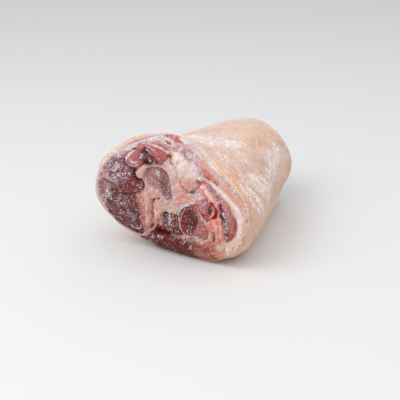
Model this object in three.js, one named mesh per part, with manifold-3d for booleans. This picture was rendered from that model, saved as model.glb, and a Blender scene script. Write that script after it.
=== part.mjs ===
// Raw pork hock: a short length of leg in its rind, cut at both ends and lying on its side.
// Millimetres, +Z up, resting on Z = 0. The wide cut faces -Y and the narrow shank end faces +Y.

import * as THREE from "three";
import { mergeGeometries, mergeVertices } from "three/addons/utils/BufferGeometryUtils.js";
import Module from "manifold-3d";

const wasm = await Module();
wasm.setup();

// Size of the whole, and the middle of its box in the leg's own axes
const LENGTH = 166;
const MIDDLE_X = 2.0;
const MIDDLE_Y = -3.8;

// Height over which the round underside runs out into its flat resting patch
const FLOOR_BLEND = 3;

// Cross-sections from the wide cut (along 0) to the shank end (along 1): reach to +X and -X,
// height of the top, of the widest line and of the underside before it is flattened, and how
// full the corners are (2 is an ellipse): top right, top left, bottom left, bottom right
const SECTIONS = [
  { along: 0.0, right: 73, left: 69, top: 114, widest: 49, bottom: -2, full: [1.1, 2.2, 1.4, 2.6] },
  { along: 0.15, right: 72, left: 66, top: 103, widest: 50, bottom: -9, full: [1.3, 1.8, 1.7, 2.8] },
  { along: 0.45, right: 62, left: 57, top: 96, widest: 48, bottom: -8, full: [1.6, 1.6, 2.0, 2.6] },
  { along: 0.75, right: 51, left: 51, top: 88, widest: 44, bottom: -6, full: [1.8, 1.7, 2.1, 2.1] },
  { along: 1.0, right: 42, left: 46, top: 79, widest: 38, bottom: -1, full: [1.9, 1.8, 2.2, 1.8] },
];

// Shallow folds of the rind: depth, folds round the leg, folds along it, and phase
const RIND_FOLDS = [
  { depth: 0.5, round: 5, along: 4.0, phase: 0.4 },
  { depth: 0.4, round: 9, along: -6.0, phase: 1.9 },
  { depth: 0.3, round: 14, along: 9.0, phase: 3.1 },
];

// The wide cut leans, sags into a saddle and is crowned in the middle
const CUT_LEAN_X = 0.065;
const CUT_LEAN_Z = -0.11;
const CUT_LEVEL = 50;
const CUT_SADDLE = -5;
const CUT_TWIST = 3.5;
const CUT_CROWN = 2;

// The shank end leans and is crowned
const SHANK_LEAN_Z = 0.08;
const SHANK_LEVEL = 40;
const SHANK_CROWN = 3;

// Muscles, fat and gristle at the wide cut: middle (x, z), half sizes along and across, tilt in
// degrees from +X towards +Z, and how far the lump stands out of the cut (less than 0: sunk)
const CUT_LOBES = [
  { name: "side muscle", at: [-43, 74], half: [18, 17], tilt: -30, rise: 3 },
  { name: "side muscle fold", at: [-39, 61], half: [13, 6], tilt: -4, rise: 5 },
  { name: "round pink muscle", at: [-28, 90], half: [12, 7], tilt: 35, rise: 6 },
  { name: "red lump", at: [-9, 97], half: [12, 6], tilt: -22, rise: 4 },
  { name: "notch by the red lump", at: [-14, 87], half: [6, 4], tilt: 0, rise: -5 },
  { name: "top band left", at: [-33, 101], half: [17, 4], tilt: 28, rise: 0 },
  { name: "top band right", at: [-6, 108], half: [15, 4], tilt: 5, rise: 0 },
  { name: "frosted upper muscle", at: [18, 98], half: [14, 6], tilt: -45, rise: -1 },
  { name: "upper strip", at: [32, 87], half: [15, 5], tilt: -50, rise: 0 },
  { name: "upper fat", at: [45, 86], half: [22, 5], tilt: -42, rise: 0 },
  { name: "knuckle gristle", at: [16, 79], half: [15, 11], tilt: -45, rise: 4 },
  { name: "gristle neck", at: [6, 93], half: [6, 6], tilt: 0, rise: 2 },
  { name: "pale lobe", at: [-26, 76], half: [6, 4], tilt: 80, rise: 5 },
  { name: "sinew column", at: [-25, 38], half: [26, 6], tilt: 88, rise: 2 },
  { name: "sinew pillar", at: [-13, 40], half: [13, 5], tilt: 82, rise: 2 },
  { name: "soft fat", at: [1, 47], half: [10, 5], tilt: 0, rise: 0 },
  { name: "fat ridge", at: [13, 58], half: [11, 5], tilt: 25, rise: 0 },
  { name: "inner muscle left", at: [-5, 36], half: [9, 5], tilt: 85, rise: -3 },
  { name: "inner muscle right", at: [5, 33], half: [11, 5], tilt: 95, rise: -2 },
  { name: "red gap", at: [-11, 22], half: [9, 4], tilt: 25, rise: -6 },
  { name: "tendon", at: [34, 65], half: [11, 4], tilt: -42, rise: 3 },
  { name: "vessel", at: [35, 49], half: [8, 5], tilt: -55, rise: -4 },
  { name: "outer muscle top", at: [45, 66], half: [13, 4], tilt: -55, rise: 0 },
  { name: "outer muscle", at: [54, 41], half: [16, 6], tilt: 100, rise: 1 },
  { name: "salmon fat", at: [43, 32], half: [12, 6], tilt: 100, rise: 2 },
  { name: "right fat", at: [66, 45], half: [20, 6], tilt: 98, rise: 0 },
  { name: "lower right fat", at: [52, 16], half: [16, 8], tilt: 35, rise: 2 },
  { name: "bottom muscle", at: [3, 11], half: [34, 9], tilt: -2, rise: 4 },
  { name: "lower left muscle", at: [-46, 34], half: [22, 16], tilt: 105, rise: 2 },
  { name: "left rim muscle", at: [-63, 53], half: [15, 5], tilt: 85, rise: 0 },
];

// Muscle bundles round the bones at the shank end
const SHANK_LOBES = [
  { name: "front bundle", at: [-2, 64], half: [20, 9], tilt: 5, rise: 1 },
  { name: "outer bundle", at: [25, 50], half: [14, 10], tilt: 110, rise: 2 },
  { name: "inner bundle", at: [-29, 46], half: [15, 11], tilt: 75, rise: 2 },
  { name: "heel bundle", at: [-12, 18], half: [18, 10], tilt: -10, rise: 1 },
  { name: "heel tendon", at: [14, 12], half: [10, 7], tilt: 20, rise: 1 },
];

// Lumps: height of a lump's crown as a share of its smaller half size, and the most it may be, how
// wide the step from one lump to the next is, the furrow that runs between two lumps, and how close
// to the rim the lumps stay at full height (a higher power is closer)
const CROWN_SHARE = 0.35;
const CROWN_MOST = 3;
const LUMP_STEP = 2;
const FURROW_DEPTH = 2;
const FURROW_WIDTH = 2.5;
const RIM_HOLD = 6;

// Bones, from the wide cut to the shank end: middle and half sizes at each end and of the shaft,
// tilt of the wide end, and how far each end is crowned
const BONES = [
  {
    name: "shin_bone",
    front: [-8, 67],
    frontHalf: [14, 18],
    tilt: 10,
    shaftHalf: [11, 10],
    far: [-5, 43],
    farHalf: [12, 11],
    frontCrown: 4,
  },
  {
    name: "calf_bone",
    front: [21, 36],
    frontHalf: [17, 12],
    tilt: -50,
    shaftHalf: [7, 6],
    far: [16, 31],
    farHalf: [7, 6],
    frontCrown: 3,
  },
];
const BONE_FLARE = 0.28;
const BONE_FAR_CROWN = 1.5;
const BONE_GAP = 0.3;
const BONE_CLEARING = 25;

// Fineness of the surfaces
const CUT_STEPS = 44;
const STEPS_ROUND = 4 * CUT_STEPS;
const STEPS_ALONG = 11;
const SHANK_RINGS = 5;
const BONE_SIDES = 20;
const BONE_STEPS = 12;
const BONE_END_STEPS = 3;
const MERGE_DISTANCE = 1e-4;

const MEAT_COLOUR = 0xa86f68;
const BONE_COLOUR = 0xc9a59c;
const RAW_ROUGHNESS = 0.55;

// Sections as rows of numbers, with the slope of each number at each section
const sectionRows = SECTIONS.map((s) => [s.right, s.left, s.top, s.widest, s.bottom, ...s.full]);
const sectionSlopes = sectionRows.map((row, k) => {
  const before = Math.max(0, k - 1);
  const after = Math.min(SECTIONS.length - 1, k + 1);
  const span = SECTIONS[after].along - SECTIONS[before].along;
  return row.map((value, j) => (sectionRows[after][j] - sectionRows[before][j]) / span);
});

// The section at any place along the leg: a smooth cubic between its two neighbours
function sectionAt(along) {
  let k = 0;
  while (k < SECTIONS.length - 2 && along > SECTIONS[k + 1].along) {
    k += 1;
  }
  const span = SECTIONS[k + 1].along - SECTIONS[k].along;
  const u = (along - SECTIONS[k].along) / span;
  const ease = u * u * (3 - 2 * u);
  const leave = u * (1 - u) * (1 - u) * span;
  const arrive = u * u * (u - 1) * span;
  return sectionRows[k].map((value, j) => {
    const eased = value + (sectionRows[k + 1][j] - value) * ease;
    return eased + leave * sectionSlopes[k][j] + arrive * sectionSlopes[k + 1][j];
  });
}

// Depth of the rind's folds, which die away at both cut edges
function rindFold(angle, along) {
  const fade = Math.sin(Math.PI * along);
  const wave = (fold) => fold.depth * Math.sin(fold.round * angle + fold.along * along + fold.phase);
  return fade * RIND_FOLDS.reduce((sum, fold) => sum + wave(fold), 0);
}

// Middle of a section and its reach at an angle, as a superellipse with four corner shapes
function sectionReach(angle, along) {
  const [right, left, top, widest, bottom, topRight, topLeft, lowLeft, lowRight] = sectionAt(along);
  const c = Math.cos(angle);
  const s = Math.sin(angle);
  const high = s >= 0 ? top - widest : widest - bottom;
  const wide = (right + left) / 2;
  const upper = (1 + s) * (topRight * (1 + c) + topLeft * (1 - c));
  const lower = (1 - s) * (lowLeft * (1 - c) + lowRight * (1 + c));
  const full = (upper + lower) / 4;
  const sum = Math.pow(Math.abs(c) / wide, full) + Math.pow(Math.abs(s) / high, full);
  const reach = Math.pow(sum, -1 / full) + rindFold(angle, along);
  return { x: (right - left) / 2, z: widest, reach };
}

// Presses the underside flat: nothing changes above FLOOR_BLEND and nothing is below the floor
function pressFlat(z) {
  if (z > FLOOR_BLEND) {
    return z;
  }
  return Math.max(0, z + FLOOR_BLEND) ** 2 / (4 * FLOOR_BLEND);
}

// Y of the bare wide cut and of the bare shank end; ring runs from 0 in the middle to 1 at the rim
function cutLevel(x, z, angle, ring) {
  const saddle = CUT_SADDLE * Math.cos(2 * angle) + CUT_TWIST * Math.sin(2 * angle);
  const lean = CUT_LEAN_X * x + CUT_LEAN_Z * (z - CUT_LEVEL);
  return -LENGTH / 2 + lean + saddle * ring * ring - CUT_CROWN * (1 - ring * ring);
}

function shankLevel(z, ring) {
  return LENGTH / 2 + SHANK_LEAN_Z * (z - SHANK_LEVEL) + SHANK_CROWN * (1 - ring * ring);
}

// Where a point lies on a lobe: depth counts from 0 in its middle to 1 on its outline, and gap is
// the distance outside that outline in millimetres, less than 0 inside it
function placeOnLobe(lobe, x, z) {
  const turn = THREE.MathUtils.degToRad(lobe.tilt);
  const dx = x - lobe.at[0];
  const dz = z - lobe.at[1];
  const lengthwise = (dx * Math.cos(turn) + dz * Math.sin(turn)) / lobe.half[0];
  const crosswise = (dz * Math.cos(turn) - dx * Math.sin(turn)) / lobe.half[1];
  const depth = Math.hypot(lengthwise, crosswise);
  const slope = Math.hypot(lengthwise / lobe.half[0], crosswise / lobe.half[1]);
  const gap = slope > 0 ? (depth * (depth - 1)) / slope : -lobe.half[1];
  return { depth, gap };
}

// Height of the lumps over the bare cut: each lobe is a crowned lump, the nearest one rules, and
// a furrow runs where two lobes are equally near
function lumpHeight(lobes, x, z) {
  let weightSum = 0;
  let heightSum = 0;
  const gaps = lobes.map((lobe) => {
    const { depth, gap } = placeOnLobe(lobe, x, z);
    const weight = Math.exp(-gap / LUMP_STEP);
    const crown = Math.min(CROWN_MOST, CROWN_SHARE * lobe.half[1]);
    weightSum += weight;
    heightSum += weight * (lobe.rise + crown * Math.max(-1, 1 - depth * depth));
    return gap;
  });
  const [nearest, second] = gaps.sort((a, b) => a - b);
  const fromEdge = (second - nearest) / 2;
  return heightSum / weightSum - FURROW_DEPTH * Math.exp(-((fromEdge / FURROW_WIDTH) ** 2));
}

// A square of side 2 laid evenly over a round disc: angle and ring of each of its points
function squareToDisc(a, b) {
  if (a === 0 && b === 0) {
    return { angle: 0, ring: 0 };
  }
  const sideways = Math.abs(a) > Math.abs(b);
  const ring = Math.max(Math.abs(a), Math.abs(b));
  const quarter = Math.PI / 4;
  const angle = sideways ? (quarter * b) / a : 2 * quarter - (quarter * a) / b;
  const behind = sideways ? a < 0 : b < 0;
  return { angle: behind ? angle + Math.PI : angle, ring };
}

// Angles on the rims are counted in whole steps, so that the faces and the rind share their points
function wholeStep(angle) {
  const step = Math.round((angle * STEPS_ROUND) / (2 * Math.PI));
  const turned = ((step % STEPS_ROUND) + STEPS_ROUND) % STEPS_ROUND;
  return (turned * 2 * Math.PI) / STEPS_ROUND;
}

function wideCutPoint(angle, ring) {
  const section = sectionReach(angle, 0);
  const x = section.x + ring * section.reach * Math.cos(angle);
  const z = pressFlat(section.z + ring * section.reach * Math.sin(angle));
  const lumps = ring < 1 ? lumpHeight(CUT_LOBES, x, z) * (1 - ring ** RIM_HOLD) : 0;
  return [x, cutLevel(x, z, angle, ring) - lumps, z];
}

function shankEndPoint(angle, ring) {
  const section = sectionReach(angle, 1);
  const x = section.x + ring * section.reach * Math.cos(angle);
  const z = pressFlat(section.z + ring * section.reach * Math.sin(angle));
  const lumps = ring < 1 ? lumpHeight(SHANK_LOBES, x, z) * (1 - ring ** RIM_HOLD) : 0;
  return [x, shankLevel(z, ring) + lumps, z];
}

function rindPoint(angle, along) {
  const section = sectionReach(angle, along);
  const x = section.x + section.reach * Math.cos(angle);
  const z = pressFlat(section.z + section.reach * Math.sin(angle));
  const y = cutLevel(x, z, angle, 1) * (1 - along) + shankLevel(z, 1) * along;
  return [x, y, z];
}

// Moves every vertex of a geometry to the place that a function gives for it
function reshape(geometry, place) {
  const position = geometry.getAttribute("position");
  for (let i = 0; i < position.count; i += 1) {
    position.setXYZ(i, ...place(position.getX(i), position.getY(i), position.getZ(i)));
  }
  return geometry;
}

// One closed surface from pieces that share their edges, without the flat slivers at the poles
function closedSurface(pieces) {
  const bare = pieces.map((piece) => {
    piece.deleteAttribute("normal");
    piece.deleteAttribute("uv");
    return piece;
  });
  const surface = mergeVertices(mergeGeometries(bare), MERGE_DISTANCE);
  const corners = surface.getIndex().array;
  const kept = [];
  for (let i = 0; i < corners.length; i += 3) {
    const [a, b, c] = corners.slice(i, i + 3);
    if (a !== b && b !== c && c !== a) {
      kept.push(a, b, c);
    }
  }
  surface.setIndex(kept);
  return surface;
}

function solidOf(surface) {
  const vertProperties = new Float32Array(surface.getAttribute("position").array);
  const triVerts = new Uint32Array(surface.getIndex().array);
  return new wasm.Manifold(new wasm.Mesh({ numProp: 3, vertProperties, triVerts }));
}

function surfaceOf(solid) {
  const mesh = solid.getMesh();
  const surface = new THREE.BufferGeometry();
  surface.setAttribute("position", new THREE.Float32BufferAttribute(mesh.vertProperties, 3));
  surface.setIndex(new THREE.Uint32BufferAttribute(mesh.triVerts, 1));
  return surface;
}

// The leg: rind all round, the wide cut at one end and the shank end at the other
function legSurface() {
  const rind = new THREE.CylinderGeometry(1, 1, 1, STEPS_ROUND, STEPS_ALONG, true);
  reshape(rind, (x, y, z) => rindPoint(wholeStep(Math.atan2(z, x)), y + 0.5));
  const wideCut = new THREE.PlaneGeometry(2, 2, CUT_STEPS, CUT_STEPS);
  reshape(wideCut, (a, b) => {
    const { angle, ring } = squareToDisc(a, b);
    return wideCutPoint(ring === 1 ? wholeStep(angle) : angle, ring);
  });
  const shankEnd = new THREE.RingGeometry(0, 1, STEPS_ROUND, SHANK_RINGS);
  reshape(shankEnd, (a, b) => {
    const ring = Math.round(Math.hypot(a, b) * SHANK_RINGS) / SHANK_RINGS;
    return shankEndPoint(wholeStep(Math.atan2(b, -a)), ring);
  });
  return closedSurface([rind, wideCut, shankEnd]);
}

// Profile of a bone for turning: a round end, the shaft from 0 to 1, and the other round end
function boneProfile() {
  const points = [];
  for (let k = 0; k < BONE_END_STEPS; k += 1) {
    const turn = (k / BONE_END_STEPS) * (Math.PI / 2);
    points.push(new THREE.Vector2(Math.sin(turn), -Math.cos(turn)));
  }
  for (let k = 0; k <= BONE_STEPS; k += 1) {
    points.push(new THREE.Vector2(1, k / BONE_STEPS));
  }
  for (let k = 1; k <= BONE_END_STEPS; k += 1) {
    const turn = (k / BONE_END_STEPS) * (Math.PI / 2);
    points.push(new THREE.Vector2(Math.cos(turn), 1 + Math.sin(turn)));
  }
  return points;
}

// A bone: wide at the cut, narrowing into its shaft within BONE_FLARE of its length, and a little
// wider again at the shank end; grow widens it all over, and each end is crowned by its own amount
function boneSurface(bone, grow, frontCrown, farCrown) {
  const turned = new THREE.LatheGeometry(boneProfile(), BONE_SIDES);
  reshape(turned, (across, level, up) => {
    const along = THREE.MathUtils.clamp(level, 0, 1);
    const flare = 1 - THREE.MathUtils.smoothstep(along, 0, BONE_FLARE);
    const foot = THREE.MathUtils.smoothstep(along, 1 - BONE_FLARE, 1);
    const half = [0, 1].map((k) => {
      const shaft = bone.shaftHalf[k];
      return shaft + (bone.frontHalf[k] - shaft) * flare + (bone.farHalf[k] - shaft) * foot + grow;
    });
    const tilt = THREE.MathUtils.degToRad(bone.tilt) * (1 - along);
    const wide = across * half[0];
    const high = up * half[1];
    const middle = [0, 1].map((k) => THREE.MathUtils.lerp(bone.front[k], bone.far[k], along));
    const x = middle[0] + wide * Math.cos(tilt) - high * Math.sin(tilt);
    const z = middle[1] + wide * Math.sin(tilt) + high * Math.cos(tilt);
    const front = cutLevel(x, z, 0, 0) - frontCrown * Math.max(0, -level);
    const far = shankLevel(z, 0) + farCrown * Math.max(0, level - 1);
    return [x, THREE.MathUtils.lerp(front, far, along), z];
  });
  return closedSurface([turned]);
}

function namedMesh(name, surface, colour) {
  surface.computeVertexNormals();
  const material = new THREE.MeshStandardMaterial({
    color: colour,
    roughness: RAW_ROUGHNESS,
    metalness: 0,
  });
  const mesh = new THREE.Mesh(surface, material);
  mesh.name = name;
  return mesh;
}

// The hock: the meat in its rind, hollowed where the two bones run through it
const hock = new THREE.Group();
hock.position.set(-MIDDLE_X, -MIDDLE_Y, 0);
let meat = solidOf(legSurface());
for (const bone of BONES) {
  const clearing = boneSurface(bone, BONE_GAP, BONE_CLEARING, BONE_CLEARING);
  meat = meat.subtract(solidOf(clearing));
  const solidBone = boneSurface(bone, 0, bone.frontCrown, BONE_FAR_CROWN);
  hock.add(namedMesh(bone.name, solidBone, BONE_COLOUR));
}
hock.add(namedMesh("meat", surfaceOf(meat), MEAT_COLOUR));

export default hock;
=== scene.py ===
# Raw pork hock lying on its side: rind, frosted cut meat and two sawn bones.
# Shapes are worked out in millimetres in the leg's own axes (x across, y along, z up) and moved
# into the part's frame, in metres, at the end.

import math
import bpy
import numpy as np
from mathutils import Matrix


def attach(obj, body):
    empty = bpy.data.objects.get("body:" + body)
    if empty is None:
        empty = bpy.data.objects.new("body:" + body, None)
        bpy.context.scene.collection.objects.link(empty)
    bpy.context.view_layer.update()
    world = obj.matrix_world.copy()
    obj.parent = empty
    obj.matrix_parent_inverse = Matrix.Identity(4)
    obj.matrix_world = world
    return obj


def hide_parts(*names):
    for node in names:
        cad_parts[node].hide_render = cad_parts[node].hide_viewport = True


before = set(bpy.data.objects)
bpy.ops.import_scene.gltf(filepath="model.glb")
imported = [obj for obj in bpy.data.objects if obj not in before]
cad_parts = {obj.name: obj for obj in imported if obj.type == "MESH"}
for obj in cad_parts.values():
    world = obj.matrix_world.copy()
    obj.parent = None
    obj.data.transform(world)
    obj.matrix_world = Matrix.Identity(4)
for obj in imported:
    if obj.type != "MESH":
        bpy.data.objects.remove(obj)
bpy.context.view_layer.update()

MM = 0.001
TINY = 1e-12
EVERYWHERE = slice(None)
# Least and greatest fineness of the waves in a random field, against its wavelength
WAVE_SPREAD = (0.65, 1.5)

# The leg's length, the part's origin in the leg's axes, and the height over the floor up to which
# the underside is pressed flat
LENGTH = 166.0
MIDDLE = np.array([2.0, -3.8, 0.0])
FLOOR_BLEND = 3.0

# Cross-sections: along, right, left, top, widest, bottom, then the fullness of the corners
# top right, top left, bottom left, bottom right (2 is an ellipse)
SECTIONS = np.array([
    [0.00, 73, 69, 114, 49, -2, 1.1, 2.2, 1.4, 2.6],
    [0.15, 72, 66, 103, 50, -9, 1.3, 1.8, 1.7, 2.8],
    [0.45, 62, 57, 96, 48, -8, 1.6, 1.6, 2.0, 2.6],
    [0.75, 51, 51, 88, 44, -6, 1.7, 1.7, 2.1, 2.1],
    [1.00, 42, 46, 79, 38, -1, 1.7, 1.8, 2.2, 1.8],
])

# Shallow folds of the rind: depth, folds round the leg, folds along it, phase
RIND_FOLDS = [(0.5, 5, 4.0, 0.4), (0.4, 9, -6.0, 1.9), (0.3, 14, 9.0, 3.1)]

# The wide cut leans, sags into a saddle and is crowned; the shank end leans and is crowned
CUT_LEAN_X, CUT_LEAN_Z, CUT_LEVEL = 0.065, -0.11, 50.0
CUT_SADDLE, CUT_TWIST, CUT_CROWN = -5.0, 3.5, 2.0
SHANK_LEAN_Z, SHANK_LEVEL, SHANK_CROWN = 0.08, 40.0, 3.0

# Waves of the cut's edge (height, number round the leg, phase), the power by which they grow to
# the rim, and the power by which the relief of the tissues dies out there
RIM_WAVES = [(0.45, 6, 0.7), (0.35, 11, 2.1), (0.25, 19, 4.0)]
RIM_GROW, RIM_HOLD = 6, 9.0

# Bones: middle, half sizes and tilt at the wide cut, half sizes of the shaft, middle and half
# sizes at the shank end
BONES = {
    "shin_bone": dict(front=(-8, 67), front_half=(14, 18), tilt=10, shaft=(11, 10),
                      far=(-5, 43), far_half=(12, 11)),
    "calf_bone": dict(front=(21, 36), front_half=(17, 12), tilt=-50, shaft=(7, 6),
                      far=(16, 31), far_half=(7, 6)),
}
# Share of the length over which a bone flares; how far the flesh sinks under its sawn faces, and
# from where to where in each face (1 is its outline); how far a sawn edge is worn, and where
BONE_FLARE = 0.28
BONE_NEST, CUT_NEST, SHANK_NEST = 3.0, (0.995, 0.93), (0.995, 0.9)
BONE_WORN, WORN_RINGS = 0.25, (0.95, 1.0)

# Rind: least thickness of its cut edge, swellings of it (height, angle, sharpness) and waves in it
# (height, number round the leg, phase)
RIND_THIN = 0.8
RIND_SWELLS = [(2.0, 127, 6), (2.2, 42, 10)]
RIND_UNEVEN = [(0.22, 8, 1.0), (0.16, 17, 0.0)]
# How far the rind's edge bulges, how far it falls back for its thickness, and how far that runs
RIND_EDGE_BULGE, RIND_CHAMFER, CHAMFER_RUN = 0.3, 0.3, 0.06
# Small lumps of the rim (angle, height, width in degrees) and how far along the leg they run
RIM_LUMPS, LUMP_RUN = [(118, 1.5, 9), (150, 1.1, 10)], 0.05

# Flesh: how far its ends are set in, as a share of the rind's thickness, and its wall
FLESH_INSET, WALL_INSET = 0.85, 6.0

# Fineness: steps across an end, rows and points round, and how far rows gather at the ends
FACE_STEPS = 204
WALL_ROWS, WALL_GATHER = 10, 0.05
RIND_ROUND, RIND_ROWS, RIND_GATHER = 480, 175, 0.03
EDGE_ROWS, INNER_ROWS = 9, 5
BONE_ROUND, BONE_RINGS, BONE_ROWS = 128, 30, 26


def smooth(low, high, value):
    """Eased step: 0 at low, 1 at high, a cubic between; low may be greater than high."""
    t = np.clip((value - low) / (high - low), 0.0, 1.0)
    return t * t * (3.0 - 2.0 * t)


def gathered_rows(share, amount):
    """Even places from 0 to 1 drawn towards both ends by a sine."""
    return share - amount * np.sin(2 * np.pi * share)


def ripples(rows, angle):
    """Sum of sine waves round the leg: height, number round it, phase."""
    return sum(height * np.sin(number * angle + phase) for height, number, phase in rows)


def wander(points, wavelength, seed, waves=22):
    """Smooth random field of about unit size: a sum of plane waves in seeded directions."""
    rng = np.random.default_rng(seed)
    points = np.asarray(points, dtype=float)
    direction = rng.normal(size=(waves, points.shape[-1]))
    direction /= np.linalg.norm(direction, axis=1, keepdims=True)
    number = 2 * np.pi / wavelength * rng.uniform(*WAVE_SPREAD, size=(waves, 1))
    phase = rng.uniform(0, 2 * np.pi, size=waves)
    total = np.zeros(points.shape[:-1])
    for k in range(waves):
        total += np.sin(points @ (direction[k] * number[k]) + phase[k])
    return total * math.sqrt(2.0 / waves)


def rough(points, rows, seed=0):
    """Sum of random fields: height, stretch along the first axis, wavelength, and a number that
    counts its seed on from the given one."""
    return sum(height * wander(points * [stretch, 1.0], wavelength, seed + number)
               for height, stretch, wavelength, number in rows)


def section_at(along):
    """Numbers of the section at any place along the leg: a smooth cubic between neighbours."""
    stations, rows = SECTIONS[:, 0], SECTIONS[:, 1:]
    before = np.maximum(np.arange(len(rows)) - 1, 0)
    after = np.minimum(np.arange(len(rows)) + 1, len(rows) - 1)
    slopes = (rows[after] - rows[before]) / (stations[after] - stations[before])[:, None]
    k = np.clip(np.searchsorted(stations, along) - 1, 0, len(rows) - 2)
    span = stations[k + 1] - stations[k]
    u = (along - stations[k]) / span
    ease = (u * u * (3 - 2 * u))[..., None]
    leave = (u * (1 - u) ** 2 * span)[..., None]
    arrive = (u * u * (u - 1) * span)[..., None]
    cubic = rows[k] + (rows[k + 1] - rows[k]) * ease
    return np.moveaxis(cubic + leave * slopes[k] + arrive * slopes[k + 1], -1, 0)


def section_reach(angle, along):
    """Middle (x, z) of the section and its reach at an angle: a superellipse with four corners."""
    right, left, top, widest, bottom, tr, tl, bl, br = section_at(along)
    c, s = np.cos(angle), np.sin(angle)
    high = np.where(s >= 0, top - widest, widest - bottom)
    wide = (right + left) / 2
    full = ((1 + s) * (tr * (1 + c) + tl * (1 - c)) + (1 - s) * (bl * (1 - c) + br * (1 + c))) / 4
    reach = ((np.abs(c) / wide) ** full + (np.abs(s) / high) ** full) ** (-1 / full)
    fold = sum(d * np.sin(n * angle + m * along + p) for d, n, m, p in RIND_FOLDS)
    return (right - left) / 2, widest, reach + np.sin(np.pi * along) * fold


def press_flat(z):
    """Underside pressed flat on the floor: unchanged above FLOOR_BLEND, never below 0."""
    pressed = np.maximum(0.0, z + FLOOR_BLEND) ** 2 / (4 * FLOOR_BLEND)
    return np.where(z > FLOOR_BLEND, z, pressed)


def cut_level(x, z, angle, ring):
    """Y of the bare wide cut: a leaning plane, a saddle that grows to the rim, a crown, and waves
    of the cut edge."""
    saddle = CUT_SADDLE * np.cos(2 * angle) + CUT_TWIST * np.sin(2 * angle)
    lean = CUT_LEAN_X * x + CUT_LEAN_Z * (z - CUT_LEVEL)
    wave = ring ** RIM_GROW * ripples(RIM_WAVES, angle)
    return -LENGTH / 2 + lean + saddle * ring ** 2 - CUT_CROWN * (1 - ring ** 2) + wave


def shank_level(z, ring):
    """Y of the bare shank end: a leaning plane and a crown."""
    return LENGTH / 2 + SHANK_LEAN_Z * (z - SHANK_LEVEL) + SHANK_CROWN * (1 - ring ** 2)


def rind_thickness(angle):
    """Thickness of the rind's cut edge: thin all round, uneven, and swollen at some angles by a
    power of the cosine."""
    swells = sum(height * np.clip(np.cos(angle - math.radians(at)), 0, 1) ** sharpness
                 for height, at, sharpness in RIND_SWELLS)
    return RIND_THIN + swells + ripples(RIND_UNEVEN, angle)


def leg_point(angle, along, inset=0.0):
    """Point of the leg's side at an angle and place along it, set in by some millimetres."""
    middle, widest, reach = section_reach(angle, along)
    x = middle + (reach - inset) * np.cos(angle)
    z = press_flat(widest + (reach - inset) * np.sin(angle))
    y = cut_level(x, z, angle, 1.0) * (1 - along) + shank_level(z, 1.0) * along
    return np.stack([x, y, z], -1)


def linear(colour):
    """A hex colour as linear light values."""
    parts = np.array([int(colour[k:k + 2], 16) for k in (1, 3, 5)]) / 255
    return np.where(parts <= 0.04045, parts / 12.92, ((parts + 0.055) / 1.055) ** 2.4)


def curve_through(points, closed, steps=6):
    """Points along a smooth curve through the given ones (each stretch a Catmull-Rom cubic)."""
    p = np.asarray(points, dtype=float)
    if closed:
        before, here, there, after = (np.roll(p, shift, 0) for shift in (1, 0, -1, -2))
    else:
        ends = np.vstack([2 * p[0] - p[1], p, 2 * p[-1] - p[-2]])
        before, here, there, after = ends[:-3], ends[1:-2], ends[2:-1], ends[3:]
    t = (np.arange(steps) / steps)[None, :, None]
    b, h, n, a = (q[:, None, :] for q in (before, here, there, after))
    path = 0.5 * (2 * h + (n - b) * t + (2 * b - 5 * h + 4 * n - a) * t ** 2
                  + (3 * h - b - 3 * n + a) * t ** 3)
    path = path.reshape(-1, 2)
    return path if closed else np.vstack([path, p[-1:]])


def distance_to_path(points, path, closed):
    """Distance to a path, the place along it (0 to 1), and whether points are inside (closed)."""
    second = np.roll(path, -1, 0) if closed else path[1:]
    best = np.full(len(points), np.inf)
    place = np.zeros(len(points))
    inside = np.zeros(len(points), dtype=bool)
    count = len(second)
    for k in range(count):
        a, b = path[k], second[k]
        edge = b - a
        rel = points - a
        t = np.clip(rel @ edge / max(edge @ edge, TINY), 0, 1)
        gap = np.hypot(rel[:, 0] - t * edge[0], rel[:, 1] - t * edge[1])
        nearer = gap < best
        best = np.where(nearer, gap, best)
        place = np.where(nearer, (k + t) / count, place)
        if closed and a[1] != b[1]:
            spans = (a[1] > points[:, 1]) != (b[1] > points[:, 1])
            inside ^= spans & (rel[:, 0] < edge[0] * (points[:, 1] - a[1]) / edge[1])
    return best, place, inside


def tissue(colour, outline, rise=None, fall=0.0, shoulder=3.0, frost=None, grain=None, soft=0.5,
           thread=0.25):
    """A patch of one tissue inside an outline: its height over the bare cut, how far its edge
    falls and over what distance, its frost, the direction of its grain, its edge's softness, and
    how strongly its threads show."""
    return dict(closed=True, colour=linear(colour), path=curve_through(outline, True), rise=rise,
                fall=fall, shoulder=shoulder, frost=frost, grain=grain, soft=soft, thread=thread)


def seam(colour, path, half, rise=0.0, frost=None, thin=1.0, soft=0.4):
    """A line of tissue along a path: half width (times thin at its far end) and height added."""
    return dict(closed=False, colour=linear(colour) if colour else None, frost=frost, rise=rise,
                path=curve_through(path, False), half=half, thin=thin, soft=soft)


def fat_seam(colour, path):
    """A thin raised seam of fat between two muscles of the shank end."""
    return seam(colour, path, half=0.6, rise=0.2, frost=0.15)


def cloud(path, half, frost, soft):
    """Frost alone along a path, over whatever lies there."""
    return seam(None, path, half, frost=frost, soft=soft)


def oval(at, half, tilt, corners=10):
    """Outline points of an ellipse."""
    t = np.linspace(0, 2 * np.pi, corners, endpoint=False)
    turn = math.radians(tilt)
    u, v = half[0] * np.cos(t), half[1] * np.sin(t)
    return np.stack([at[0] + u * math.cos(turn) - v * math.sin(turn),
                     at[1] + u * math.sin(turn) + v * math.cos(turn)], -1)


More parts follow.
